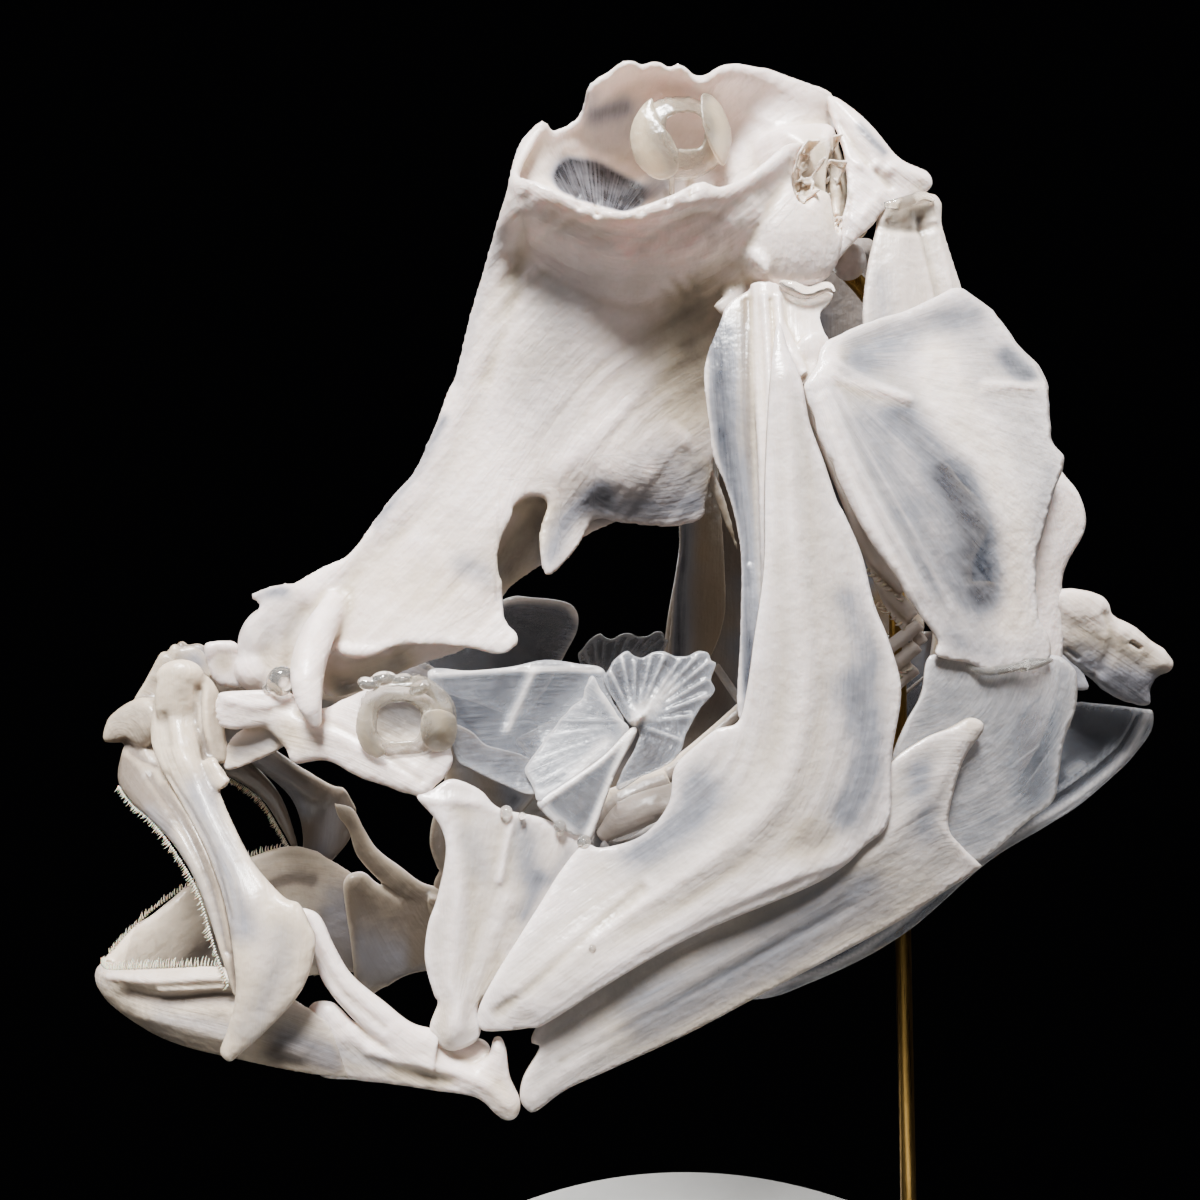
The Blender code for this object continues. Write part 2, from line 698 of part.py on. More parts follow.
def dentary():
    """Front bone of the lower jaw, bowed round the mouth, with its tooth row"""
    upper = [
        (101, 963, -0.6), (102, 966, -5.5), (109, 970, -10), (135, 969, -14), (180, 967, -18),
        (221, 966, -20.3), (256, 976, -21.3), (290, 996, -21.8), (330, 1022, -21.8),
    ]
    lower = [
        (116, 988, -0.6), (122, 998, -5), (136, 1014, -9), (160, 1034, -13.5),
        (195, 1049, -17.3), (235, 1059, -19.8), (275, 1068, -21), (308, 1074, -21.8),
        (350, 1079, -21.8),
    ]
    body = strap(upper, lower, [3.0, 3.2, 3.2, 3.0, 2.8, 2.4, 2.0, 1.6, 1.0])
    edge = [(102, 963, -1.5), (103, 965, -5.5), (110, 969, -10), (135, 968, -14),
            (180, 966, -18), (216, 965, -20)]
    row = teeth(edge, 16, (-0.15, 0.1, 1.0))
    return fused("dentary_left", body, *row)


def articular():
    """Rear bone of the lower jaw: joint cup, heel and the long arm that rises to the front"""
    arm = strap(
        [(292, 905, -20.4), (318, 914, -20.6), (334, 945, -21), (352, 975, -21.4),
         (386, 1003, -21.8), (412, 1023, -22), (440, 1030, -22)],
        [(298, 925, -20.4), (312, 945, -20.6), (322, 980, -21), (345, 1010, -21.4),
         (376, 1040, -21.8), (402, 1060, -22), (430, 1080, -22)],
        [1.2, 2.0, 2.2, 2.4, 2.6, 2.8, 3.0],
    )
    body = shell(
        [(332, 1004), (352, 1022), (385, 1042), (402, 1040), (430, 1030), (446, 1052),
         (470, 1064), (488, 1056), (493, 1040), (500, 1037), (506, 1049), (510, 1077),
         (520, 1100), (518, 1114), (508, 1119), (496, 1113), (476, 1095), (434, 1089),
         (398, 1084), (360, 1080), (338, 1044), (318, 1012)],
        [(332, 1004, -21.4), (402, 1050, -21.8), (398, 1084, -21.6), (446, 1052, -21.6),
         (476, 1095, -22), (500, 1037, -22), (515, 1110, -22.4), (360, 1080, -21.4)],
        2.6, 1.2, 18, grain=30, ridges=[
            ([(380, 1060), (430, 1066), (480, 1080), (508, 1104)], 1.2, 14),
        ])
    return fused("articular_left", body, arm)


def palatine():
    """Bar of the palate from behind the upper jaw to the quadrate, under the lower eye"""
    outline = [
        (217, 702), (228, 691), (262, 694), (285, 690), (320, 708), (350, 697), (372, 688),
        (410, 688), (436, 702), (446, 730), (452, 762), (436, 784), (422, 797), (404, 792),
        (361, 777), (330, 761), (294, 763), (284, 744), (262, 727), (240, 729), (222, 722),
    ]
    depths = [
        (217, 705, -8.8), (285, 715, -10.5), (330, 735, -12.5), (372, 690, -12),
        (410, 690, -12.5), (361, 777, -15), (422, 795, -17.2), (452, 762, -15.5),
    ]
    return new_object("palatine_left", shell(outline, depths, 2.8, 1.2, 24, grain=32, ridges=[
        ([(228, 708), (290, 722), (350, 738), (410, 775)], 1.2, 16),
    ]))


def quadrate():
    """Fan of bone over the jaw joint, with clear windows between its rays"""
    outline = [
        (414, 799), (432, 788), (452, 777), (480, 790), (499, 806), (545, 819), (584, 843),
        (566, 872), (545, 905), (528, 935), (500, 975), (478, 1006), (482, 1030), (470, 1050),
        (450, 1056), (434, 1046), (430, 1026), (438, 1003), (434, 994), (425, 960), (428, 925),
        (437, 898), (446, 852), (439, 824),
    ]
    depths = [
        (414, 799, -17.5), (480, 790, -16.5), (584, 843, -16.5), (446, 852, -18.5),
        (528, 935, -19), (425, 960, -20.5), (450, 1040, -22.3), (480, 1020, -22),
    ]
    return new_object("quadrate_left", shell(outline, depths, 1.2, 0.8, 22, grain=38, ridges=[
        ([(445, 1040), (450, 980), (455, 900), (440, 820)], 2.0, 16),
        ([(452, 1000), (490, 900), (505, 820)], 1.0, 10),
    ]))


def entopterygoid():
    """Thin clear plate of the palate behind the lower eye"""
    outline = [
        (428, 672), (469, 671), (510, 667), (545, 660), (579, 664), (604, 670), (612, 700),
        (624, 724), (600, 748), (560, 774), (534, 794), (503, 784), (470, 768), (456, 758),
        (446, 720),
    ]
    depths = [
        (428, 672, -11), (510, 667, -9.5), (604, 670, -10.5), (624, 724, -13.3),
        (534, 794, -16), (456, 758, -14.5), (540, 730, -11),
    ]
    return new_object("entopterygoid_left", shell(outline, depths, 0.7, 0.5, 20))


def entopterygoid_right():
    """The same plate of the right side, which stands higher"""
    outline = [
        (418, 668), (440, 640), (503, 600), (533, 598), (565, 602), (577, 612), (577, 630),
        (566, 652), (545, 690), (520, 715), (470, 700), (440, 690),
    ]
    depths = [(418, 668, 12), (503, 600, 10), (577, 612, 11), (545, 690, 13), (470, 700, 14.5)]
    return new_object("entopterygoid_right", shell(outline, depths, 0.7, 0.5, 20))


def symplectic():
    """Small three-sided bone of a few stiff rays, between palate and quadrate"""
    outline = [
        (630, 729), (636, 734), (614, 775), (592, 838), (584, 837), (567, 832), (545, 814),
        (538, 801), (562, 785), (602, 757),
    ]
    depths = [(630, 729, -14.6), (590, 838, -17), (538, 801, -17), (575, 800, -16.6)]
    return new_object("symplectic_left", shell(outline, depths, 0.7, 0.6, 16, ridges=[
        ([(630, 731), (600, 760), (542, 802)], 0.6, 5),
        ([(632, 733), (611, 780), (588, 835)], 0.6, 5),
    ]))


def metapterygoid():
    """Scalloped fan of ridged, clear bone"""
    outline = [
        (604, 680), (614, 660), (626, 651), (634, 657), (653, 652), (664, 651), (675, 657),
        (698, 651), (708, 653), (716, 664), (711, 679), (715, 691), (701, 707), (687, 732),
        (680, 753), (664, 767), (641, 777), (618, 790), (624, 768), (640, 736), (628, 722),
        (616, 702),
    ]
    depths = [
        (604, 680, -11.5), (664, 651, -11), (716, 664, -13), (687, 732, -14.8),
        (618, 790, -16), (634, 724, -14), (650, 700, -12),
    ]
    rays = [(616, 668), (640, 662), (665, 662), (690, 662), (704, 672), (704, 692)]
    ridges = [([(638, 722), end], 0.5, 6) for end in rays]
    return new_object("metapterygoid_left", shell(outline, depths, 0.7, 0.5, 16, ridges))


def hyomandibula():
    """Hanger of the jaws: head under the braincase, front lamina and the arm for the opercle"""
    outline = [
        (748, 292), (762, 283), (784, 288), (809, 294), (826, 290), (833, 298), (826, 312),
        (820, 322), (824, 340), (832, 352), (826, 372), (806, 378), (798, 395), (800, 440),
        (805, 500), (815, 570), (818, 640), (800, 700), (760, 725), (738, 715), (740, 636),
        (741, 560), (734, 515), (724, 482), (713, 456), (709, 423), (704, 382), (707, 356),
        (719, 325), (732, 306),
    ]
    depths = [
        (762, 283, -10.2), (832, 300, -10.8), (832, 352, -15.4), (704, 382, -11.5),
        (724, 482, -13), (741, 560, -15.5), (738, 715, -18.5), (805, 500, -18),
        (818, 640, -19.5), (760, 400, -15.5), (760, 600, -18),
    ]
    return new_object("hyomandibula_left", shell(outline, depths, 1.0, 0.6, 20, ridges=[
        ([(765, 290), (768, 360), (775, 450), (782, 560), (785, 680)], 1.6, 16),
        ([(775, 330), (800, 350), (826, 356)], 1.4, 14),
        ([(770, 294), (800, 300), (822, 300)], 1.2, 12),
    ]))


def preopercle():
    """Great crescent over the cheek, from the hanger's rear edge down to the jaw joint"""
    outline = [
        (786, 348), (801, 382), (809, 423), (822, 458), (844, 515), (861, 555), (873, 603),
        (887, 638), (899, 679), (899, 707), (891, 755), (888, 821), (863, 846), (838, 869),
        (802, 889), (700, 932), (622, 975), (547, 1022), (529, 1027), (503, 1030), (484, 1028),
        (486, 1006), (506, 974), (534, 934), (552, 905), (573, 872), (590, 846), (602, 848),
        (643, 835), (669, 803), (675, 767), (700, 742), (717, 729), (738, 722), (747, 690),
        (754, 640), (764, 566), (763, 484), (762, 413), (766, 368),
    ]
    depths = [
        (786, 348, -18.5), (762, 413, -18.8), (809, 423, -18.8), (763, 566, -20.6),
        (861, 555, -20), (750, 660, -21.3), (899, 690, -21), (717, 729, -20.5),
        (888, 821, -21.8), (675, 767, -19.5), (602, 848, -18.5), (800, 800, -22.6),
        (700, 860, -22.4), (838, 869, -22), (560, 905, -20.4), (700, 932, -22.6),
        (600, 960, -23), (500, 980, -22.8), (520, 1028, -23.4), (486, 1022, -23.2),
    ]
    return new_object("preopercle_left", shell(outline, depths, 1.2, 0.6, 24, ridges=[
        ([(780, 380), (785, 480), (795, 600), (800, 700), (770, 800), (690, 870), (600, 930),
          (520, 990)], 1.8, 20),
        ([(846, 850), (760, 880), (640, 940), (540, 1005)], 0.8, 16),
    ]))


def opercle():
    """Large gill cover, hinged on the hanger's rear arm"""
    outline = [
        (836, 340), (854, 328), (879, 319), (915, 307), (953, 289), (969, 294), (992, 312),
        (1017, 345), (1035, 363), (1045, 379), (1047, 391), (1048, 417), (1053, 446),
        (1063, 456), (1061, 469), (1050, 501), (1040, 537), (1035, 562), (1036, 600),
        (1038, 619), (1048, 638), (1048, 658), (1027, 661), (994, 670), (967, 663),
        (937, 656), (939, 642), (928, 624), (907, 596), (896, 576), (873, 544), (848, 500),
        (824, 446), (812, 412), (806, 388), (815, 382), (832, 376), (838, 360),
    ]
    depths = [
        (836, 345, -16.5), (812, 400, -19.3), (879, 319, -16.5), (960, 291, -16),
        (1045, 379, -15.5), (1061, 469, -15.5), (848, 500, -20.6), (940, 420, -19.8),
        (980, 520, -20.2), (1036, 600, -17), (1048, 658, -16.5), (907, 596, -21),
        (937, 656, -20.6), (994, 670, -19.4),
    ]
    return new_object("opercle_left", shell(outline, depths, 1.0, 0.6, 24, ridges=[
        ([(824, 385), (870, 420), (960, 450), (1000, 520), (1010, 620)], 0.6, 30),
        ([(838, 352), (880, 375), (960, 383), (1040, 385)], 0.5, 10),
    ]))


def subopercle():
    """Thin plate below the gill cover"""
    outline = [
        (930, 656), (965, 662), (994, 668), (1027, 660), (1046, 656), (1058, 656), (1070, 665),
        (1076, 676), (1075, 707), (1063, 741), (1058, 775), (1052, 801), (1027, 821),
        (982, 858), (965, 820), (925, 790), (897, 760), (905, 725), (921, 695),
    ]
    depths = [
        (930, 660, -19.7), (994, 670, -18.5), (1048, 656, -15.7), (1075, 707, -14.8),
        (1052, 801, -15.5), (982, 858, -17.6), (897, 760, -19.6), (970, 760, -18.8),
    ]
    return new_object("subopercle_left", shell(outline, depths, 0.7, 0.5, 24))


def interopercle():
    """Long plate along the lower edge of the cheek, from the jaw's heel to the gill cover"""
    outline = [
        (524, 1076), (540, 1047), (531, 1040), (548, 1018), (600, 975), (680, 925),
        (760, 885), (830, 855), (870, 815), (893, 765), (924, 739), (951, 728), (970, 718),
        (981, 722), (981, 732), (965, 754), (955, 782), (947, 825), (960, 845), (977, 862),
        (977, 869), (931, 899), (899, 920), (850, 947), (753, 998), (687, 1033), (607, 1070),
        (565, 1089), (536, 1110), (526, 1108), (520, 1097),
    ]
    depths = [
        (530, 1100, -22), (540, 1030, -21.5), (680, 930, -20.6), (830, 860, -20.2),
        (893, 765, -20.6), (975, 725, -20.4), (947, 825, -20), (977, 866, -18.6),
        (753, 998, -21), (607, 1070, -22), (890, 840, -20.6),
    ]
    return new_object("interopercle_left", shell(outline, depths, 0.9, 0.6, 24, ridges=[
        ([(535, 1095), (600, 1040), (700, 975), (820, 900), (900, 820), (960, 745)], 0.9, 16),
    ]))


def hyoid():
    """Bar of the tongue on one side, with the long curved rays that it carries"""
    keel = strap(
        [(604, 838, -3.6), (640, 880, -8), (700, 870, -11.5), (780, 825, -13), (840, 790, -13.5)],
        [(592, 868, -3.6), (640, 930, -8), (720, 925, -11.5), (800, 875, -13), (850, 815, -13.5)],
        [1.6, 2.4, 2.8, 2.6, 1.6],
    )
    strut = bar([(842, 806, -13.5, 1.0), (828, 765, -15.2, 0.8), (800, 706, -18.3, 0.7)], sides=5)
    rays = [
        [(650, 935), (740, 960), (840, 940), (930, 893)],
        [(690, 925), (790, 925), (890, 890), (985, 842)],
        [(730, 908), (830, 895), (930, 850), (1022, 795)],
        [(765, 888), (860, 860), (960, 805), (1040, 745)],
        [(795, 868), (880, 825), (970, 765), (1042, 695)],
    ]
    pieces = []
    for k, ray in enumerate(rays):
        sides = [-11.5, -14.2, -14.6, -13.4 - 0.1 * k]
        wide = [9, 12, 10, 4]
        if k == 0:
            wide = [10, 22, 20, 4]
        high = [(u, v - w / 2, y) for (u, v), w, y in zip(ray, wide, sides)]
        low = [(u, v + w / 2, y) for (u, v), w, y in zip(ray, wide, sides)]
        pieces.append(strap(high, low, [1.0, 0.8, 0.7, 0.6], steps=2, sides=6))
    return fused("hyoid_left", keel, strut, *pieces)


def cleithrum():
    """Curved bone of the shoulder, from behind the gill cover down towards the throat"""
    outline = [
        (940, 392), (985, 380), (1040, 436), (1061, 472), (1076, 491), (1084, 514),
        (1082, 534), (1066, 562), (1060, 587), (1062, 640), (1056, 690), (1040, 740),
        (1000, 800), (940, 850), (880, 886), (842, 928), (824, 926), (846, 884), (880, 850),
        (940, 790),
        (985, 725), (1012, 650), (1018, 570), (1010, 500), (985, 450),
    ]
    depths = [
        (950, 390, -13.3), (1040, 436, -13), (1084, 514, -11.5), (1010, 500, -13),
        (1062, 620, -10.5), (1015, 620, -11), (1000, 780, -8), (940, 810, -7.2),
        (832, 927, -0.8), (846, 892, -3.2), (880, 868, -5.2),
    ]
    return new_object("cleithrum_left", shell(outline, depths, 1.4, 0.7, 20, ridges=[
        ([(975, 405), (1035, 490), (1048, 560), (1040, 650), (1000, 760), (900, 860)], 1.0, 14),
    ]))


def scapula():
    """Lumpy root of the pectoral fin"""
    outline = [
        (1050, 592), (1093, 592), (1107, 603), (1110, 612), (1130, 624), (1148, 638),
        (1162, 649), (1171, 661), (1168, 671), (1153, 677), (1148, 690), (1146, 704),
        (1120, 700), (1096, 684), (1072, 662), (1052, 636),
    ]
    depths = [(1056, 600, -10.6), (1110, 612, -10), (1171, 661, -8), (1146, 704, -6.5),
              (1080, 665, -8.5)]
    return new_object("scapula_left", shell(outline, depths, 3.2, 1.0, 22, grain=28, ridges=[
        ([(1090, 605), (1120, 628), (1158, 662)], 1.0, 12),
    ]))


def supracleithrum():
    """Upper bone of the shoulder, hung from the posttemporal"""
    outline = [
        (876, 205), (900, 198), (930, 196), (940, 206), (941, 225), (950, 256), (962, 293),
        (975, 340), (980, 390), (950, 398), (910, 392), (875, 360), (863, 326), (867, 270),
        (877, 224),
    ]
    depths = [(876, 205, -9.5), (940, 206, -9.5), (863, 326, -12), (962, 293, -12),
              (950, 398, -13.2)]
    return new_object("supracleithrum_left", shell(outline, depths, 1.6, 0.8, 20, ridges=[
        ([(905, 206), (905, 270), (912, 370)], 0.9, 16),
        ([(884, 208), (908, 210), (932, 208)], 1.2, 10),
    ]))


def posttemporal():
    """Forked bone that ties the shoulder to the back of the braincase"""
    outline = [
        (838, 98), (852, 110), (872, 130), (897, 160), (925, 174), (931, 188), (905, 192),
        (884, 200), (866, 222), (850, 246), (838, 262), (832, 252), (842, 226), (850, 200),
        (849, 172), (842, 140), (834, 112),
    ]
    depths = [(838, 98, -6), (872, 130, -8.5), (928, 182, -9.5), (850, 246, -10),
              (835, 258, -9.8), (845, 150, -9)]
    return new_object("posttemporal_left", shell(outline, depths, 1.8, 0.9, 14, grain=30, ridges=[
        ([(842, 108), (868, 136), (895, 170), (922, 182)], 1.4, 12),
        ([(880, 190), (858, 224), (838, 254)], 0.8, 8),
    ]))


def urohyal():
    """Large clear plate in the middle of the throat, with a stiff curved rim"""
    outline = [
        (1144, 709), (1152, 712), (1150, 731), (1132, 756), (1114, 774), (1079, 804),
        (1043, 827), (989, 859), (930, 900), (866, 945), (815, 968), (751, 990), (700, 990),
        (715, 965), (780, 945), (850, 915), (930, 865), (1000, 815), (1030, 780),
        (1060, 735), (1072, 705), (1100, 704),
    ]
    depths = [(1144, 709, -2.6), (1079, 804, -0.8), (903, 900, 1.25), (700, 990, 0),
              (850, 915, 0.6), (1072, 705, -2.6)]
    return new_object("urohyal", shell(outline, depths, 0.7, 0.6, 12, ridges=[
        ([(1146, 715), (1126, 752), (1075, 797), (985, 852), (860, 938), (750, 982)], 0.9, 8),
    ]))


def nasal():
    """Small rounded plate in front of the snout"""
    outline = [(206, 648), (222, 641), (236, 644), (236, 664), (232, 684), (218, 686), (207, 672)]
    depths = [(206, 648, -1.6), (236, 644, -1.6), (218, 686, -1.6)]
    return new_object("nasal", shell(outline, depths, 1.4, 0.7, 14, grain=26))


def gill_arches_upper():
    """Upper halves of three gill arches on one side"""
    spine = [(786, 350, -4), (812, 410, -5.5), (840, 480, -6.8), (870, 552, -9),
             (905, 590, -11.5)]
    arches = []
    for k in range(ARCHES):
        drop = 27 * k
        line = [(u + 9 * k, v + drop * min(1, 0.1 + 0.25 * j), y, 0.95)
                for j, (u, v, y) in enumerate(spine)]
        arches.append(bar(line, sides=5))
    tie = bar([(764, 296, -2.6, 1.2), (776, 326, -3, 1.3), (800, 362, -4, 1.7),
               (812, 380, -4.6, 1.2)], sides=6)
    rakers = [
        bar([(872 + 5 * k, 562 + 5 * k, -9.6, 0.5), (870 + 6 * k, 582 + 5 * k, -10.6, 0.25)],
            sides=4)
        for k in range(4)
    ]
    return fused("gill_arches_upper_left", tie, *arches, *rakers)


def gill_arches_lower():
    """Lower halves of the gill arches, from the tongue's root to their bend"""
    arches = []
    for k in range(ARCHES):
        line = [
            (618 + 18 * k, 812 - 4 * k, -3.2, 1.5), (690 + 14 * k, 800 - 14 * k, -6, 1.3),
            (770 + 10 * k, 768 - 22 * k, -8.5, 1.1), (850 + 6 * k, 720 - 26 * k, -10.5, 1.0),
            (916 + 2 * k, 668 - 22 * k, -12, 0.9),
        ]
        arches.append(bar(line, sides=5))
    root = bar([(600, 838, -2.8, 1.0), (630, 815, -3.2, 2.4), (680, 795, -3.8, 2.0)], sides=6)
    return fused("gill_arches_lower_left", root, *arches)


LEFT_BONES = {
    premaxilla: WARM_WHITE, maxilla: WARM_WHITE, dentary: WARM_WHITE, articular: CREAM,
    palatine: CREAM, quadrate: WARM_WHITE, entopterygoid: PALE_BLUE, symplectic: PALE_BLUE,
    metapterygoid: PALE_BLUE, hyomandibula: WARM_WHITE, preopercle: CREAM, opercle: CREAM,
    subopercle: PALE_BLUE, interopercle: WARM_WHITE, hyoid: PALE_BLUE, cleithrum: WARM_WHITE,
    scapula: WARM_WHITE, supracleithrum: WARM_WHITE, posttemporal: WARM_WHITE,
    gill_arches_upper: CREAM, gill_arches_lower: CREAM,
}

# Where two bones meet, the first is cut back from those that follow
MEETINGS = [
    ("maxilla", "premaxilla"), ("dentary", "maxilla"), ("articular", "dentary", "maxilla"),
    ("quadrate", "articular", "palatine"), ("palatine", "neurocranium", "maxilla"),
    ("premaxilla", "neurocranium"),
    ("entopterygoid", "palatine", "quadrate"), ("symplectic", "entopterygoid", "quadrate"),
    ("metapterygoid", "symplectic", "entopterygoid"), ("preopercle", "quadrate"),
    ("hyomandibula", "preopercle", "neurocranium", "metapterygoid"),
    ("opercle", "hyomandibula", "preopercle"), ("interopercle", "preopercle", "articular"),
    ("subopercle", "opercle", "interopercle"), ("posttemporal", "neurocranium"),
    ("supracleithrum", "posttemporal", "opercle"), ("cleithrum", "supracleithrum", "urohyal"),
    ("scapula", "cleithrum", "urohyal"), ("gill_arches_upper", "neurocranium"),
    ("gill_arches_lower", "gill_arches_upper"),
    ("hyoid", "cleithrum", "gill_arches_lower", "hyomandibula", "preopercle"),
]

# Bones of the right side against those that aren't the same on both sides
RIGHT_MEETINGS = {
    "posttemporal_right": ("neurocranium",), "supracleithrum_right": ("neurocranium",),
    "hyomandibula_right": ("neurocranium",), "palatine_right": ("neurocranium",),
    "premaxilla_right": ("neurocranium",), "gill_arches_upper_right": ("neurocranium",),
    "cleithrum_right": ("urohyal",), "scapula_right": ("urohyal",),
    "dentary_right": ("maxilla_right", "premaxilla_right", "hyoid_right"),
    "articular_right": ("maxilla_right", "interopercle_right", "hyoid_right"),
}


def stand():
    """Flat black base and the brass rod that runs up to the back of the braincase"""
    middle = Vector((0, 0, BASE_THICK / 2))
    block = bmesh.new()
    bmesh.ops.create_cube(block, size=1.0)
    places = [middle + Vector((v.co.x * BASE_LENGTH, v.co.y * BASE_WIDTH, v.co.z * BASE_THICK))
              for v in block.verts]
    faces = [tuple(v.index for v in face.verts) for face in block.faces]
    block.free()
    base = new_object("stand_base", (places, faces))
    rounded = base.modifiers.new("edges", "BEVEL")
    rounded.width = BASE_ROUNDING * MM
    rounded.segments = 2
    foot = sight(ROD_FOOT_U, ROD_FOOT_V, ROD_SIDE)
    bend_height = sight(ROD_TOP_U, ROD_TOP_V, ROD_SIDE).z - BEND_BELOW_TOP
    line = [
        Vector((foot.x, ROD_SIDE, BASE_THICK + GAP)),
        Vector((foot.x, ROD_SIDE, (BASE_THICK + bend_height) / 2)),
    ]
    line += [Vector((foot.x - moved, ROD_SIDE, bend_height + risen)) for moved, risen in ROD_BEND]
    sides = ROD_FACETS
    places = []
    for k, spot in enumerate(line):
        ahead = (line[min(k + 1, len(line) - 1)] - line[max(k - 1, 0)]).normalized()
        other = ahead.cross(Vector((0, 1, 0))).normalized()
        for s in range(sides):
            angle = 2 * math.pi * s / sides
            spoke = Vector((0, 1, 0)) * math.cos(angle) + other * math.sin(angle)
            places.append(spot + spoke * ROD_RADIUS)
    faces = [tuple(range(sides)), tuple(range(len(places) - sides, len(places)))]
    for k in range(len(line) - 1):
        for s in range(sides):
            a = k * sides + s
            b = k * sides + (s + 1) % sides
            faces += [(a, b, a + sides), (b, b + sides, a + sides)]
    return base, new_object("stand_rod", (places, faces))


def build():
    """Make every node, cut neighbours clear of each other, then mirror the left side"""
    clear_scene()
    skull = dress(neurocranium())
    made = {"neurocranium": skull, "urohyal": dress(urohyal(), PALE_BLUE)}
    for maker, colour in LEFT_BONES.items():
        made[maker.__name__] = dress(maker(), colour)
    for name in ("premaxilla", "dentary", "cleithrum"):
        cut_at_middle(made[name])
    for first, *others in MEETINGS:
        cut_clear(made[first], *[made[other] for other in others])
    for maker, colour in LEFT_BONES.items():
        if maker is not entopterygoid:
            dress(mirrored(made[maker.__name__], maker.__name__ + "_right"), colour)
    for name in ("dentary_right", "articular_right"):
        deepened(bpy.data.objects[name])
    for name, others in RIGHT_MEETINGS.items():
        cut_clear(bpy.data.objects[name], *[bpy.data.objects[other] for other in others])
    high_plate = entopterygoid_right()
    cut_clear(high_plate, bpy.data.objects["palatine_right"], skull)
    dress(high_plate, PALE_BLUE)
    dress(cut_clear(nasal(), skull), WARM_WHITE)
    upper_ring = ring("sclerotic_ring_upper", 679, 138, -3.5, 52, 44, 685, 131, 21, 19,
                      post=[(672, 176, -3.2, 0.5), (672, 196, -1.0, 0.5)])
    dress(cut_clear(upper_ring, skull), CREAM)
    lower_ring = ring("sclerotic_ring_lower", 406, 720, -16.4, 51, 47, 399, 722, 23, 20)
    dress(cut_clear(lower_ring, made["palatine"], made["entopterygoid"], skull), CREAM)
    base, rod = stand()
    cut_clear(skull, rod)
    dress(base, BLACK, 0.35)
    dress(rod, BRASS, 0.3, 1.0)


build()
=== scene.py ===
# %% [markdown]
# # A flounder skull on its mount
#
# The real object is the cleaned skull of a left-eyed flatfish, held by a brass rod. Its bones
# are of two kinds. The braincase, jaws and cheek are solid and white. The palate, gill covers
# and throat are so thin that they are nearly clear, with growth lines like those of a scale.
# A flat base and the rod stand in for the mount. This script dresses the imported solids: every
# bone is made again, finer, in the same place, from the same measured outlines.

# %% Load the frame
import math

import bmesh
import bpy
import numpy as np
from mathutils import Matrix, Vector, geometry


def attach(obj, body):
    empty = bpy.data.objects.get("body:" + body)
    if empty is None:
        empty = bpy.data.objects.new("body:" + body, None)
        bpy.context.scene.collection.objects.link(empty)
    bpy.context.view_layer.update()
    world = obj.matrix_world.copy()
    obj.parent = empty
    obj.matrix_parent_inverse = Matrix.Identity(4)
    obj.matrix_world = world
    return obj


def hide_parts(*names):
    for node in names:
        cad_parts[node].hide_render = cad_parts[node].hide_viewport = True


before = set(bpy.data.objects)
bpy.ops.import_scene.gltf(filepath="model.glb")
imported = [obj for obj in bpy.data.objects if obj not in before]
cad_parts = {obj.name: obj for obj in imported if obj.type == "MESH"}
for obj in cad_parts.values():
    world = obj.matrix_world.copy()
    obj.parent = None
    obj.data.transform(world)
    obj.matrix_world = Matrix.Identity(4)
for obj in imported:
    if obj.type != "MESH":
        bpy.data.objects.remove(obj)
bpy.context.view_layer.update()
MM = 0.001
print("frame:", len(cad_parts), "nodes")

# %% [markdown]
# ## One eye for the drawing and the camera
#
# The bones were measured on a picture of the skull's left side: u runs to the right and v
# down, in picture points. A point of a bone is its u, its v and its side distance y in
# millimetres from the plane that halves the fish. A ray from the drawing's eye through (u, v)
# meets that side distance in one place. A flat drawing would be simpler, but the eye stood
# only 127 mm away, so near bones look larger.

# %% The eye's place, and rays through the drawing
EYE = np.array([-30.0, -127.0, 152.0])
EYE_TURN = math.radians(-9.4)
EYE_TIP = math.radians(4.5)
EYE_ROLL = math.radians(2.6)
PICTURE_SIDE = 1200
PICTURE_MIDDLE = PICTURE_SIDE / 2
FOCAL = 924.0
POINTS_PER_MM = 7.3


def eye_axes():
    """Forward, right and up of the eye, from its turn, tip and roll"""
    forward = np.array([
        -math.sin(EYE_TURN) * math.cos(EYE_TIP),
        math.cos(EYE_TURN) * math.cos(EYE_TIP),
        -math.sin(EYE_TIP),
    ])
    level = np.cross(forward, (0, 0, 1))
    level /= np.linalg.norm(level)
    upright = np.cross(level, forward)
    right = level * math.cos(EYE_ROLL) - upright * math.sin(EYE_ROLL)
    up = upright * math.cos(EYE_ROLL) + level * math.sin(EYE_ROLL)
    return forward, right, up


FORWARD, RIGHT, UP = eye_axes()


def sight(points):
    """Places in mm of rows of u, v and side distance y"""
    rows = np.atleast_2d(np.asarray(points, dtype=float))
    ray = FORWARD + RIGHT * ((rows[:, :1] - PICTURE_MIDDLE) / FOCAL)
    ray = ray + UP * ((PICTURE_MIDDLE - rows[:, 1:2]) / FOCAL)
    return EYE + ray * ((rows[:, 2:3] - EYE[1]) / ray[:, 1:2])


def drawn(places):
    """The other way round: the (u, v) at which places in mm are seen"""
    away = places - EYE
    depth = away @ FORWARD
    u = PICTURE_MIDDLE + FOCAL * (away @ RIGHT) / depth
    v = PICTURE_MIDDLE - FOCAL * (away @ UP) / depth
    return np.column_stack([u, v])


print("eye looks along", FORWARD.round(3))

# %% [markdown]
# ## Curves, brush strokes and a smooth side distance
#
# Three small tools do most of the shaping. A curve runs smoothly through a few points. A brush
# stroke is a curve with a strength that fades to both sides: it raises a ridge, cuts a groove
# or paints a clear patch. A thin-plate field bends smoothly through a few side distances, so a
# whole bone's bulge needs only about ten numbers. Sculpting by hand could do the same, but
# strokes can be read and moved.


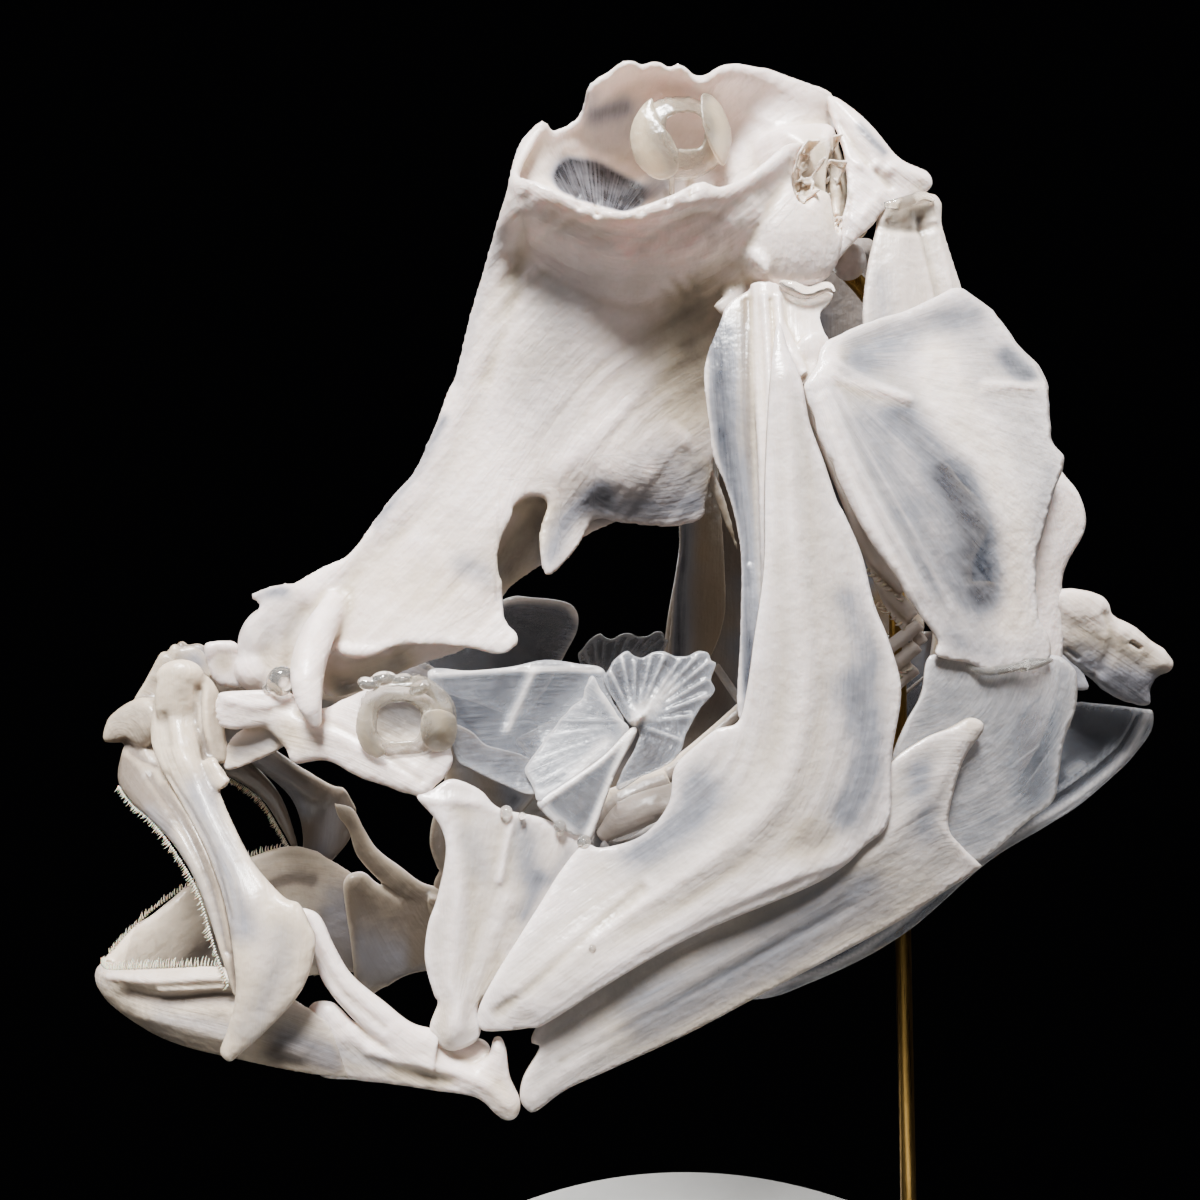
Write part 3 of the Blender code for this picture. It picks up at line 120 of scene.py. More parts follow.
# %% Curves
def curve(points, pieces=6, closed=False):
    """A smooth curve through rows of numbers; a row given twice in turn stays a corner"""
    given = np.array(points, dtype=float)
    if closed:
        ghost = np.vstack([given[-1:], given, given[:2]])
    else:
        ghost = np.vstack([2 * given[0] - given[1], given, 2 * given[-1] - given[-2]])
    share = np.arange(pieces)[:, None] / pieces
    out = []
    for k in range(1, len(ghost) - 2):
        p0, p1, p2, p3 = ghost[k - 1:k + 3]
        if np.allclose(p1, p2):
            continue
        if np.allclose(p0, p1):
            p0 = 2 * p1 - p2
        if np.allclose(p2, p3):
            p3 = 2 * p2 - p1
        out.append(0.5 * (
            2 * p1 + (p2 - p0) * share
            + (2 * p0 - 5 * p1 + 4 * p2 - p3) * share ** 2
            + (3 * p1 - p0 - 3 * p2 + p3) * share ** 3
        ))
    if not closed:
        out.append(given[-1:])
    return np.vstack(out)


def divided(line, step):
    """The same closed line with evenly spaced points"""
    ring = np.vstack([line, line[:1]])
    run = np.concatenate([[0], np.cumsum(np.linalg.norm(np.diff(ring, axis=0), axis=1))])
    count = max(3, int(round(run[-1] / step)))
    at = np.linspace(0, run[-1], count + 1)[:-1]
    return np.column_stack([np.interp(at, run, ring[:, k]) for k in range(2)])


def to_line(spots, line, closed=False):
    """Shortest distance from each spot to a line"""
    ends = np.roll(line, -1, axis=0) if closed else line[1:]
    starts = line if closed else line[:-1]
    best = np.full(len(spots), 1e9)
    for a, b in zip(starts, ends):
        along = b - a
        offset = spots - a
        share = np.clip(offset @ along / max(along @ along, 1e-9), 0, 1)
        gap = offset - share[:, None] * along
        np.minimum(best, np.einsum("ij,ij->i", gap, gap), out=best)
    return np.sqrt(best)


def inside(spots, line):
    """True for each spot within a closed line"""
    hit = np.zeros(len(spots), dtype=bool)
    for a, b in zip(line, np.roll(line, -1, axis=0)):
        if a[1] == b[1]:
            continue
        spans = (a[1] > spots[:, 1]) != (b[1] > spots[:, 1])
        hit ^= spans & (spots[:, 0] < a[0] + (spots[:, 1] - a[1]) * (b[0] - a[0]) / (b[1] - a[1]))
    return hit


# %% Brush strokes and fields
def strokes_at(spots, strokes):
    """Sum of strokes: (points, strength, half width in picture points)"""
    total = np.zeros(len(spots))
    for points, strength, width in strokes:
        if len(points) == 1:
            near = np.linalg.norm(spots - np.array(points[0], dtype=float), axis=1)
        else:
            near = to_line(spots, curve(points, 4))
        total += strength * np.exp(-(near / width) ** 2)
    return total


def depth_field(controls):
    """A smooth side distance over the drawing, through a few given ones (u, v, y)"""
    known = np.array(controls, dtype=float)
    spots = known[:, :2] / 100
    count = len(spots)

    def bend(a, b):
        reach = np.linalg.norm(a[:, None] - b[None], axis=2) + 1e-9
        return reach ** 2 * np.log(reach)

    flat = np.hstack([np.ones((count, 1)), spots])
    system = np.zeros((count + 3, count + 3))
    system[:count, :count] = bend(spots, spots) + 0.01 * np.eye(count)
    system[:count, count:] = flat
    system[count:, :count] = flat.T
    weights = np.linalg.solve(system, np.concatenate([known[:, 2], np.zeros(3)]))

    def field(points):
        at = points[:, :2] / 100
        slope = np.hstack([np.ones((len(at), 1)), at]) @ weights[count:]
        return bend(at, spots) @ weights[:count] + slope

    return field


LATTICE = np.random.default_rng(7).random((256, 256))


def ripple(x, y):
    """Smooth noise from -1 to 1 over a plane, one wave per unit"""
    i = np.floor(x).astype(int)
    j = np.floor(y).astype(int)
    s = (x - i) ** 2 * (3 - 2 * (x - i))
    t = (y - j) ** 2 * (3 - 2 * (y - j))
    near = LATTICE[i % 256, j % 256] * (1 - s) + LATTICE[(i + 1) % 256, j % 256] * s
    far = LATTICE[i % 256, (j + 1) % 256] * (1 - s) + LATTICE[(i + 1) % 256, (j + 1) % 256] * s
    return 2 * (near * (1 - t) + far * t) - 1


# %% [markdown]
# ## Shapes: plate, blade, bar and lump
#
# A plate is a bone sheet: an outline filled with triangles, placed by its side distances and
# given a thickness that tapers to its rim. A blade is swept between two edges, a bar is round,
# and a lump is a leaned ellipsoid. Solidify and a bevelled curve could make plain ones, but a
# bone's thickness changes from point to point, so these write both faces themselves.


# %% The plate
def plate(outline, depths, body, edge=0.5, soften=24, step=5.0, ridges=(), folds=(), swells=(),
          ragged=0.0, comb=None):
    """Places in mm and triangles of a bone sheet.

    body and edge are its thickness in mm, soften the picture width over which it tapers.
    ridges rise on the near face, folds move the whole sheet towards the eye, swells thicken it.
    comb is (grain, height in mm, wave in mm): fine furrows along the grain.
    """
    rim = divided(curve(outline, closed=True), step)
    if ragged:
        run = np.arange(len(rim)) * step
        ahead = np.roll(rim, -1, axis=0) - np.roll(rim, 1, axis=0)
        outward = np.column_stack([ahead[:, 1], -ahead[:, 0]])
        outward /= np.linalg.norm(outward, axis=1)[:, None] + 1e-9
        rough = ripple(run / 17, 0.5) + 0.7 * ripple(run / 8, 3.5)
        rim = rim + outward * (rough * ragged)[:, None]
    low, high = rim.min(axis=0), rim.max(axis=0)
    rise = step * math.sqrt(3) / 2
    rows, columns = np.indices((int((high[1] - low[1]) / rise) + 1,
                                int((high[0] - low[0]) / step) + 1))
    free = np.column_stack([
        (low[0] + (columns + (rows % 2) / 2) * step).ravel(),
        (low[1] + (rows + 0.5) * rise).ravel(),
    ])
    free = free[inside(free, rim)]
    free = free[to_line(free, rim, closed=True) > step * 0.55]
    spots = np.vstack([rim, free])
    loop = [(k, (k + 1) % len(rim)) for k in range(len(rim))]
    cut = geometry.delaunay_2d_cdt([Vector(spot) for spot in spots], loop, [], 1, 0.01)
    spots = np.array([tuple(spot) for spot in cut[0]])
    faces = np.array([tuple(face) for face in cut[2]])
    faces = faces[inside(spots[faces].mean(axis=1), rim)]
    side = depth_field(depths)(spots) - strokes_at(spots, folds)
    centre = sight(np.column_stack([spots, side]))
    a, b, c = (centre[faces[:, k]] for k in range(3))
    facing = np.cross(b - a, c - a)
    facing[facing[:, 1] > 0] *= -1
    normals = np.zeros_like(centre)
    for k in range(3):
        np.add.at(normals, faces[:, k], facing)
    normals /= np.linalg.norm(normals, axis=1)[:, None] + 1e-12
    share = np.clip(to_line(spots, rim, closed=True) / soften, 0, 1)
    thick = edge + (body - edge) * np.sqrt(1 - (1 - share) ** 2)
    fading = 0.3 + 0.7 * share
    thick += strokes_at(spots, swells) * fading
    raised = strokes_at(spots, ridges) * fading
    if comb:
        raised += share * combed(spots, comb)
    near = centre + normals * (thick / 2 + raised)[:, None]
    far = centre - normals * (thick / 2)[:, None]
    count = len(centre)
    uses = {}
    for t in faces:
        for p, q in ((t[0], t[1]), (t[1], t[2]), (t[2], t[0])):
            uses.setdefault((min(p, q), max(p, q)), []).append((p, q))
    walls = []
    for used in uses.values():
        if len(used) == 1:
            p, q = used[0]
            walls += [(q, p, p + count), (q, p + count, q + count)]
    return np.vstack([near, far]), np.vstack([faces, faces[:, ::-1] + count, walls])


# Streaks that fan out have their true width this far, in mm, from the fan's middle
FAN_REACH = 20.0


def grain_at(spots, grain):
    """Across and along the fibres, in mm: they fan from a point, ring it or follow a line"""
    kind, where = grain
    where = np.array(where, dtype=float)
    if kind != "line":
        offset = spots - where
        reach = np.linalg.norm(offset, axis=1) / POINTS_PER_MM
        turn = np.arctan2(offset[:, 1], offset[:, 0]) * FAN_REACH
        return np.column_stack([turn, reach] if kind == "fan" else [reach, turn])
    chord = where[-1] - where[0]
    chord /= np.linalg.norm(chord)
    across = to_line(spots, curve(where, 4)) / POINTS_PER_MM
    return np.column_stack([across, (spots - where[0]) @ chord / POINTS_PER_MM])


def combed(spots, comb):
    """Fine furrows along the grain: (grain, height in mm, wave in mm, strokes that say where)"""
    grain, height, wave, *where = comb
    lines = grain_at(spots, grain)
    furrows = height * ripple(lines[:, 0] / wave, lines[:, 1] / (wave * 9))
    return furrows * np.clip(strokes_at(spots, where[0]), 0, 1) if where else furrows


# %% Blade, bar and lump
def tube(middles, acrosses, flats, sides):
    """Rings of points round a centre line, joined into a closed skin"""
    angles = 2 * math.pi * np.arange(sides) / sides
    places = (
        middles[:, None]
        + acrosses[:, None] * np.cos(angles)[None, :, None]
        + flats[:, None] * np.sin(angles)[None, :, None]
    ).reshape(-1, 3)
    faces = []
    for k in range(len(middles) - 1):
        for s in range(sides):
            a = k * sides + s
            b = k * sides + (s + 1) % sides
            faces += [(a, b, a + sides), (b, b + sides, a + sides)]
    caps = [len(places), len(places) + 1]
    places = np.vstack([places, middles[0], middles[-1]])
    last = (len(middles) - 1) * sides
    for s in range(sides):
        faces.append((caps[0], (s + 1) % sides, s))
        faces.append((caps[1], last + s, last + (s + 1) % sides))
    return places, np.array(faces)


def directions(middles):
    """Unit direction along a line at each of its points"""
    ahead = np.gradient(middles, axis=0)
    return ahead / (np.linalg.norm(ahead, axis=1)[:, None] + 1e-12)


BLADE_SIDES, BAR_SIDES = 14, 12


def blade(edge_a, edge_b, thick):
    """A blade swept between two edges of (u, v, y), with its thickness in mm"""
    rows = curve([list(a) + list(b) + [t] for a, b, t in zip(edge_a, edge_b, thick)])
    tops, feet = sight(rows[:, :3]), sight(rows[:, 3:6])
    middles = (tops + feet) / 2
    acrosses = (tops - feet) / 2
    flats = np.cross(directions(middles), acrosses)
    flats *= (rows[:, 6:7] / 2) / (np.linalg.norm(flats, axis=1)[:, None] + 1e-12)
    return tube(middles, acrosses, flats, BLADE_SIDES)


def bar(points):
    """A round bar through rows of u, v, y and radius in mm"""
    rows = curve(points)
    middles = sight(rows[:, :3])
    ahead = directions(middles)
    helper = np.where(np.abs(ahead[:, 1:2]) > 0.8, [[1.0, 0, 0]], [[0, 1.0, 0]])
    acrosses = np.cross(ahead, helper)
    acrosses /= np.linalg.norm(acrosses, axis=1)[:, None]
    flats = np.cross(ahead, acrosses)
    return tube(middles, acrosses * rows[:, 3:4], flats * rows[:, 3:4], BAR_SIDES)


def lump(u, v, y, radii, lean=0.0):
    """A leaned ellipsoid with its radii in mm"""
    ball = bmesh.new()
    bmesh.ops.create_icosphere(ball, subdivisions=4, radius=1.0)
    turn = Matrix.Rotation(math.radians(lean), 3, "Y")
    centre = Vector(sight((u, v, y))[0])
    places = np.array([centre + turn @ (vert.co * Vector(radii)) for vert in ball.verts])
    faces = np.array([[vert.index for vert in face.verts] for face in ball.faces])
    ball.free()
    return places, faces


def far_side(piece):
    """The same shape on the other side of the middle plane"""
    places, faces = piece
    return places * (1, -1, 1), faces[:, ::-1]


# %% [markdown]
# ## From shapes to one bone
#
# A solid bone is several shapes run together. Booleans would keep a sharp crease at each joint,
# which bone never has, so the shapes are melted by a voxel remesh and smoothed, and strokes
# then raise its ridges. A thin bone would vanish between voxels, so its plate stays as it is.


# %% Objects, melting and sculpting
def linked(name, data):
    """A new object of the scene"""
    made = bpy.data.objects.new(name, data)
    bpy.context.scene.collection.objects.link(made)
    return made


def outwards(places, faces):
    """The faces of a closed skin, turned round if they face its inside"""
    a, b, c = (places[faces[:, k]] for k in range(3))
    inverted = np.einsum("ij,ij->i", np.cross(a, b), c).sum() < 0
    return faces[:, ::-1] if inverted else faces


def new_bone(name, places, faces):
    """A linked object from places in mm, faces outwards"""
    mesh = bpy.data.meshes.new(name)
    mesh.from_pydata((places * MM).tolist(), [], outwards(places, faces).tolist())
    mesh.shade_smooth()
    return linked(name, mesh)


def settle(made):
    """Replace an object's mesh by its evaluated one and take the modifiers off"""
    graph = bpy.context.evaluated_depsgraph_get()
    graph.update()
    result = bpy.data.meshes.new_from_object(made.evaluated_get(graph))
    made.modifiers.clear()
    old = made.data
    made.data = result
    bpy.data.meshes.remove(old)
    result.name = made.name
    return made


def remeshed(made, voxel):
    """Rebuild an object's skin from voxels, which runs its shapes together"""
    melt = made.modifiers.new("melt", "REMESH")
    melt.mode = "VOXEL"
    melt.voxel_size = voxel
    return settle(made)


def melted(name, pieces, voxel, rounds=4, hollows=()):
    """Shapes run together into one smooth bone, with hollows taken out"""
    places, faces, shift = [], [], 0
    for spots, corners in pieces:
        places.append(spots / MM)
        faces.append(outwards(spots, corners) + shift)
        shift += len(spots)
    made = remeshed(new_bone(name, np.vstack(places), np.vstack(faces)), voxel)
    for spots, corners in hollows:
        cutter = new_bone(name + "_hollow", spots / MM, corners)
        cut = made.modifiers.new("hollow", "BOOLEAN")
        cut.operation = "DIFFERENCE"
        cut.solver = "MANIFOLD"
        cut.object = cutter
        settle(made)
        bpy.data.objects.remove(cutter, do_unlink=True)
    if hollows:
        remeshed(made, voxel)
    soft = made.modifiers.new("soften", "SMOOTH")
    soft.factor = 0.5
    soft.iterations = rounds
    settle(made)
    made.data.transform(Matrix.Scale(MM, 4))
    made.data.shade_smooth()
    return made


def rows_of(items, field):
    """A vector of each vertex, as rows of three"""
    flat = np.empty(len(items) * 3, dtype=np.float32)
    items.foreach_get(field, flat)
    return flat.reshape(-1, 3).astype(float)


def places_of(bone):
    """Vertex places in mm"""
    return rows_of(bone.data.vertices, "co") / MM


def normals_of(bone):
    """Vertex normals"""
    return rows_of(bone.data.vertex_normals, "vector")


def place_at(bone, places):
    """Put the vertices at places in mm"""
    bone.data.vertices.foreach_set("co", (places * MM).astype(np.float32).ravel())
    bone.data.update()


# Strokes work in full on a surface turned up to 51 degrees from the eye: 1 / cos 51 is 1.6
FULL_FACING = 1.6


def sculpt(bone, strokes, *combs):
    """Raise or cut the surface that faces the eye along strokes, in mm"""
    places, normals = places_of(bone), normals_of(bone)
    away = places - EYE
    away /= np.linalg.norm(away, axis=1)[:, None]
    facing = np.clip(-FULL_FACING * np.einsum("ij,ij->i", normals, away), 0, 1)
    spots = drawn(places)
    amount = strokes_at(spots, strokes) + sum(combed(spots, comb) for comb in combs)
    place_at(bone, places + normals * (amount * facing)[:, None])


# %% [markdown]
# ## What the surface knows about itself
#
# Three numbers are kept at every vertex and read by the materials. clear says how glassy the
# bone is there, a second number how creamy it is and how much painted shade it carries, and
# grain where the vertex lies across and along the fibres, in millimetres. Strokes paint them,
# and the form adds to them: hollows and inner sides get painted shade, ridges and rims a
# painted highlight. An image could hold the same, but this part has none.


# %% Painting and mirroring
def note(bone, name, values):
    """Keep numbers, or rows of three, at the vertices"""
    kind, field = ("FLOAT", "value") if values.ndim == 1 else ("FLOAT_VECTOR", "vector")
    made = bone.data.attributes.get(name) or bone.data.attributes.new(name, kind, "POINT")
    made.data.foreach_set(field, values.astype(np.float32).ravel())


# A form's height is measured against its own skin after ten smoothings. At these heights in
# mm, a rim or a pit counts in full.
SMOOTHINGS = 10
RIM_HEIGHT, PIT_DEPTH = 0.25, 0.15
# What a full rim adds as painted highlight and a full pit as painted shade, and the part of
# its clearness that a rim loses
RIM_PAINTED_LIGHT, PIT_PAINTED_SHADE, RIM_LOSS = -0.2, 0.3, 0.45


def hollowness(bone):
    """How deep in a hollow each vertex lies, in mm; below zero on ridges and rims"""
    places, normals = places_of(bone), normals_of(bone)
    ends = np.empty(len(bone.data.edges) * 2, dtype=np.int32)
    bone.data.edges.foreach_get("vertices", ends)
    a, b = ends.reshape(-1, 2).T
    count = len(places)
    soft = places
    for _ in range(SMOOTHINGS):
        total = [np.bincount(a, soft[b, k], count) + np.bincount(b, soft[a, k], count)
                 for k in range(3)]
        soft = np.column_stack(total) / np.bincount(ends, minlength=count)[:, None]
    return np.einsum("ij,ij->i", soft - places, normals)


def paint(bone, grain, clear=0.0, clears=(), warm=0.0, cream_and_shade_strokes=(), grains=(), behind=0.9):
    """Set the clear, warm and grain numbers; grains are (outline, grain) of parts with another.

    Hollows get painted shade, and so, by the amount behind, does a left bone's inner side,
    which faces the middle. Ridges and rims get a painted highlight.
    """
    spots = drawn(places_of(bone))
    hollow = hollowness(bone)
    rim = np.clip(-hollow / RIM_HEIGHT, 0, 1)
    pit = np.clip(hollow / PIT_DEPTH, 0, 1)
    # Pits get painted shade and rims a painted highlight, on top of the strokes
    cream_and_shade_total = warm + strokes_at(spots, cream_and_shade_strokes) + PIT_PAINTED_SHADE * pit + RIM_PAINTED_LIGHT * rim
    # Painted shade on the inner side, which faces the middle; the mirrored right bone keeps it
    if "_left_" in bone.name:
        cream_and_shade_total += behind * np.clip(normals_of(bone)[:, 1], 0, 1)
    glassy = (clear + strokes_at(spots, clears)) * (1 - RIM_LOSS * rim)
    note(bone, "clear", np.clip(glassy, 0, 1))
    note(bone, "warm", np.clip(cream_and_shade_total, 0, 1))
    lines = grain_at(spots, grain)
    for outline, other in grains:
        within = inside(spots, np.array(outline, dtype=float))
        lines[within] = grain_at(spots[within], other)
    note(bone, "grain", np.column_stack([lines, np.zeros(len(lines))]))


# The right lower jaw is DEEP_FACTOR times deeper at DEEP_X, below a line through LINE_X and
# LINE_TOP that falls by LINE_SLOPE
DEEP_X = (-75, -71, -66, -57, -43, -35, -27)
DEEP_FACTOR = (1.0, 1.9, 2.0, 3.0, 3.0, 2.3, 1.0)
LINE_TOP, LINE_SLOPE, LINE_X = 98.5, 6 / 22, -57


def deepened(bone):
    """Stretch a bone of the right lower jaw below its slanting line"""
    places = places_of(bone)
    line = LINE_TOP - LINE_SLOPE * (places[:, 0] - LINE_X)
    factor = np.interp(places[:, 0], DEEP_X, DEEP_FACTOR)
    places[:, 2] -= np.clip(line - places[:, 2], 0, None) * (factor - 1)
    place_at(bone, places)


def mirrored(bone, name):
    """The same bone of the right side"""
    mesh = bone.data.copy()
    mesh.name = name
    mesh.transform(Matrix.Scale(-1, 4, (0, 1, 0)))
    mesh.flip_normals()
    return linked(name, mesh)


# %% [markdown]
# ## Handing a piece to the frame
#
# Each finished piece rides on the model's one body and stands for the plain solid of the same
# bone. The right side's bone is the left one's mirror image.


# %% Hand-over
def hand_over(piece, finish, slot, *nodes):
    """Give a finished piece its material and its place in the frame"""
    piece.data.materials.clear()
    piece.data.materials.append(finish)
    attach(piece, "root")
    if nodes:
        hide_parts(*nodes)
    return piece


def both_sides(bone, finish, slot="bone", deep=False):
    """Hand over a left bone and its mirror image, which is deeper in the lower jaw"""
    name = bone.name.removesuffix("_left_bone")
    other = mirrored(bone, name + "_right_bone")
    if deep:
        deepened(other)
    hand_over(bone, finish, slot, name + "_left")
    hand_over(other, finish, slot, name + "_right")
    print(name, len(bone.data.polygons), "faces a side")


# %% [markdown]
# ## Degreased bone
#
# Bone is a scattering solid: light enters, spreads about a millimetre and comes out again, so
# it looks soft rather than painted. Thick bone is warm white, fat left in it turns it cream,
# and bone thinner than half a millimetre lets the dark behind it through and looks blue-grey,
# like skimmed milk. The same cream and brown also stand for painted shade in hollows, on inner
# sides and where strokes lay it. Fibres and yearly growth lines run through it. A flat white
# would look like plastic, so the material breaks the clear, cream and grain numbers into streaks.


# %% Colours and nodes
def hue(code):
    """An sRGB hex colour as linear red, green, blue and alpha"""
    parts = [int(code[k:k + 2], 16) / 255 for k in (0, 2, 4)]
    return [p / 12.92 if p <= 0.04045 else ((p + 0.055) / 1.055) ** 2.4 for p in parts] + [1.0]


def fill(tree, node, sockets):
    """Give inputs of a node a value or a link"""
    for key, value in sockets.items():
        if isinstance(value, bpy.types.NodeSocket):
            tree.links.new(value, node.inputs[key])
        else:
            node.inputs[key].default_value = value


def add(tree, kind, settings=None, sockets=None, out=0):
    """Add a node; sockets gives each input a value or a link, and out names what is returned"""
    made = tree.nodes.new(kind)
    for name, value in (settings or {}).items():
        setattr(made, name, value)
    fill(tree, made, sockets or {})
    return made.outputs[out]


def new_finish(name):
    """A material with its node tree and its shader"""
    made = bpy.data.materials.new(name)
    made.use_nodes = True
    return made, made.node_tree, made.node_tree.nodes["Principled BSDF"]


# %% The bone material
def bone_finish(name, tones, seen_through, streak, roughness, relief, coat):
    """Bone with streaks along its fibres; streak is their width in mm, relief their height.

    tones are white, cream and brown as grease and painted shade grow, milky and deep for thinner
    bone.
    """
    made, tree, shader = new_finish(name)
    white, cream, brown, milky, deep = (hue(code) for code in tones)
    clear = add(tree, "ShaderNodeAttribute", {"attribute_name": "clear"}, out="Fac")
    warm = add(tree, "ShaderNodeAttribute", {"attribute_name": "warm"}, out="Fac")
    grain = add(tree, "ShaderNodeAttribute", {"attribute_name": "grain"}, out="Vector")
    place = add(tree, "ShaderNodeTexCoord", out="Object")
    lines = add(tree, "ShaderNodeVectorMath", {"operation": "MULTIPLY"},
                {0: grain, 1: (1 / streak, 1 / (streak * 14), 1.0)})
    fibres = add(tree, "ShaderNodeTexNoise", None,
                 {"Vector": lines, "Scale": 1.0, "Detail": 3.0, "Roughness": 0.6})
    clouds = add(tree, "ShaderNodeTexNoise", None,
                 {"Vector": place, "Scale": 1 / (5 * MM), "Detail": 4.0, "Roughness": 0.62})
    pores = add(tree, "ShaderNodeTexNoise", None,
                {"Vector": place, "Scale": 1 / (0.6 * MM), "Detail": 3.0, "Roughness": 0.7})
    streaks = add(tree, "ShaderNodeMapRange", None, {"Value": fibres, 1: 0.3, 2: 0.7})
    patches = add(tree, "ShaderNodeMapRange", None, {"Value": clouds, 1: 0.35, 2: 0.65})
    # fat and painted shade: white to cream to brown, in soft clouds
    fat_and_shade = add(tree, "ShaderNodeMath", {"operation": "MULTIPLY_ADD", "use_clamp": True},
              {0: patches, 1: 0.14, 2: warm})
    some = add(tree, "ShaderNodeMapRange", None, {"Value": fat_and_shade, 2: 0.5})
    much = add(tree, "ShaderNodeMapRange", None, {"Value": fat_and_shade, 1: 0.5})
    creamy = add(tree, "ShaderNodeMix", {"data_type": "RGBA"},
                 {"Factor": some, 6: white, 7: cream}, out=2)
    solid = add(tree, "ShaderNodeMix", {"data_type": "RGBA"},
                {"Factor": much, 6: creamy, 7: brown}, out=2)
    # thin bone: milky, then deep, broken into streaks
    broken = add(tree, "ShaderNodeMath", {"operation": "MULTIPLY_ADD"},
                 {0: streaks, 1: 0.24, 2: 0.71})
    uneven = add(tree, "ShaderNodeMath", {"operation": "MULTIPLY_ADD"},
                 {0: patches, 1: 0.2, 2: broken})
    glass = add(tree, "ShaderNodeMath", {"operation": "MULTIPLY", "use_clamp": True},
                {0: clear, 1: uneven})
    thin = add(tree, "ShaderNodeMapRange", None, {"Value": glass, 2: 0.6})
    thinner = add(tree, "ShaderNodeMapRange", None, {"Value": glass, 1: 0.6})
    milk = add(tree, "ShaderNodeMix", {"data_type": "RGBA"},
               {"Factor": thin, 6: solid, 7: milky}, out=2)
    tone = add(tree, "ShaderNodeMix", {"data_type": "RGBA"},
               {"Factor": thinner, 6: milk, 7: deep}, out=2)
    shade = add(tree, "ShaderNodeMapRange", None, {"Value": streaks, 3: 0.93})
    final = add(tree, "ShaderNodeMix", {"data_type": "RGBA", "blend_type": "MULTIPLY"},
                {"Factor": 1.0, 6: tone, 7: shade}, out=2)
    alpha = add(tree, "ShaderNodeMath", {"operation": "MULTIPLY_ADD", "use_clamp": True},
                {0: glass, 1: -seen_through, 2: 1.0})
    height = add(tree, "ShaderNodeMath", {"operation": "MULTIPLY_ADD"},
                 {0: pores, 1: 0.35, 2: streaks})
    bump = add(tree, "ShaderNodeBump", None,
               {"Height": height, "Strength": 0.8, "Distance": relief * MM})
    dents = add(tree, "ShaderNodeTexNoise", None,
                {"Vector": place, "Scale": 1 / (1.7 * MM), "Detail": 2.0})
    skin = add(tree, "ShaderNodeBump", None,
               {"Height": dents, "Distance": 0.22 * MM, "Normal": bump})
    gloss = add(tree, "ShaderNodeMapRange", None,
                {"Value": pores, 3: roughness - 0.1, 4: roughness + 0.12})
    fill(tree, shader, {
        "Base Color": final, "Alpha": alpha, "Normal": skin, "Roughness": gloss, "IOR": 1.53,
        "Coat Weight": coat, "Coat Roughness": 0.12, "Subsurface Weight": 0.35,
        "Subsurface Radius": (1.0, 0.78, 0.6), "Subsurface Scale": 1.3 * MM})
    return made


# Solid bone, boiled and bleached: chalky, with a little fat left in its thick parts
DENSE = bone_finish("degreased_bone_bleached", ("FAE9E3", "D2BFA6", "6C5D4C", "949298", "26262B"),
                    0.3, 0.6, 0.4, 0.05, 0.22)
# Thin bone of the cheek and gill cover: horny and glossy, blue-grey where nothing lies behind
THIN = bone_finish("thin_bone_dried_clear", ("F6E8E4", "D2C0A8", "8C7A64", "8C8C92", "484B54"),
                   0.35, 0.5, 0.3, 0.04, 0.34)
# The clearest plates of the palate and throat: like a fish scale
SCALE = bone_finish("scale_clear_bone_dried", ("F2E9E6", "CBBAA2", "8C7A64", "909298", "6A6C74"),
                    0.8, 0.34, 0.2, 0.04, 0.4)
# Bone of the eye's cup: amber and glassy like a thin horn
CUP = bone_finish("eye_cup_bone_amber", ("DDD2C4", "CBB89A", "948060", "9C9282", "6C6254"),
                  0.7, 0.5, 0.2, 0.03, 0.5)
print("bone finishes:", DENSE.name, THIN.name, SCALE.name, CUP.name)

# %% [markdown]
# ## Braincase and great sheet
#
# A great sheet with a thick rolled edge runs down the front of the neurocranium, the cup of the
# upper eye lies above it, and the braincase bulges behind the cup, with a pocket of spongy
# bone. In a flatfish it is twisted, since one eye has moved over, so it has no mirror image.
# It is melted from a sheet, a cup, a keel and several lumps.

# %% Neurocranium shapes
SHEET_OUTLINE = [
    (546, 121), (518, 173), (541, 184), (575, 199), (596, 207),
    (624, 211), (645, 205), (676, 193), (699, 182), (719, 187), (743, 178), (765, 162),
    (788, 144), (812, 150), (812, 215), (790, 262), (758, 285), (735, 340), (722, 400),
    (716, 450), (706, 500), (700, 520), (665, 527), (620, 523), (594, 520), (577, 548),
    (547, 577), (539, 537), (547, 503), (530, 497), (515, 505), (512, 518), (501, 541),
    (498, 567), (502, 582), (504, 600), (506, 620), (519, 636), (516, 646), (498, 655),
    (468, 648), (409, 645), (384, 650), (363, 659), (345, 657), (336, 647), (322, 664),
    (300, 672), (280, 688), (262, 690), (243, 684), (242, 659), (237, 646), (245, 630),
    (260, 605), (251, 600), (254, 592), (284, 583), (297, 582), (330, 564), (350, 554),
    (376, 520), (395, 494), (416, 470), (438, 420), (449, 390), (455, 379), (471, 316),
    (480, 285), (498, 224), (511, 187), (514, 165), (526, 138),
]
SHEET_DEPTHS = [
    (546, 121, -3), (514, 165, -3.5), (480, 285, -3.5), (449, 390, -3.5), (395, 494, -3.5),
    (330, 564, -3), (254, 592, -2.5), (240, 650, -2.5), (262, 688, -3.5), (322, 664, -6),
    (409, 645, -8), (516, 646, -9.5), (504, 600, -8), (512, 518, -7.5), (547, 577, -8.5),
    (620, 479, -6), (594, 520, -3.5), (665, 527, -1.5), (706, 500, -1.5), (722, 400, -2.5),
    (735, 340, -4), (560, 420, -6), (640, 400, -5.5), (520, 330, -6), (518, 173, -10),
    (575, 199, -14), (624, 211, -15.5), (676, 193, -15), (719, 187, -14), (765, 162, -12.5),
    (788, 144, -11), (812, 200, -9), (600, 285, -8.5), (690, 280, -8), (758, 285, -8.5),
    (540, 250, -8),
]
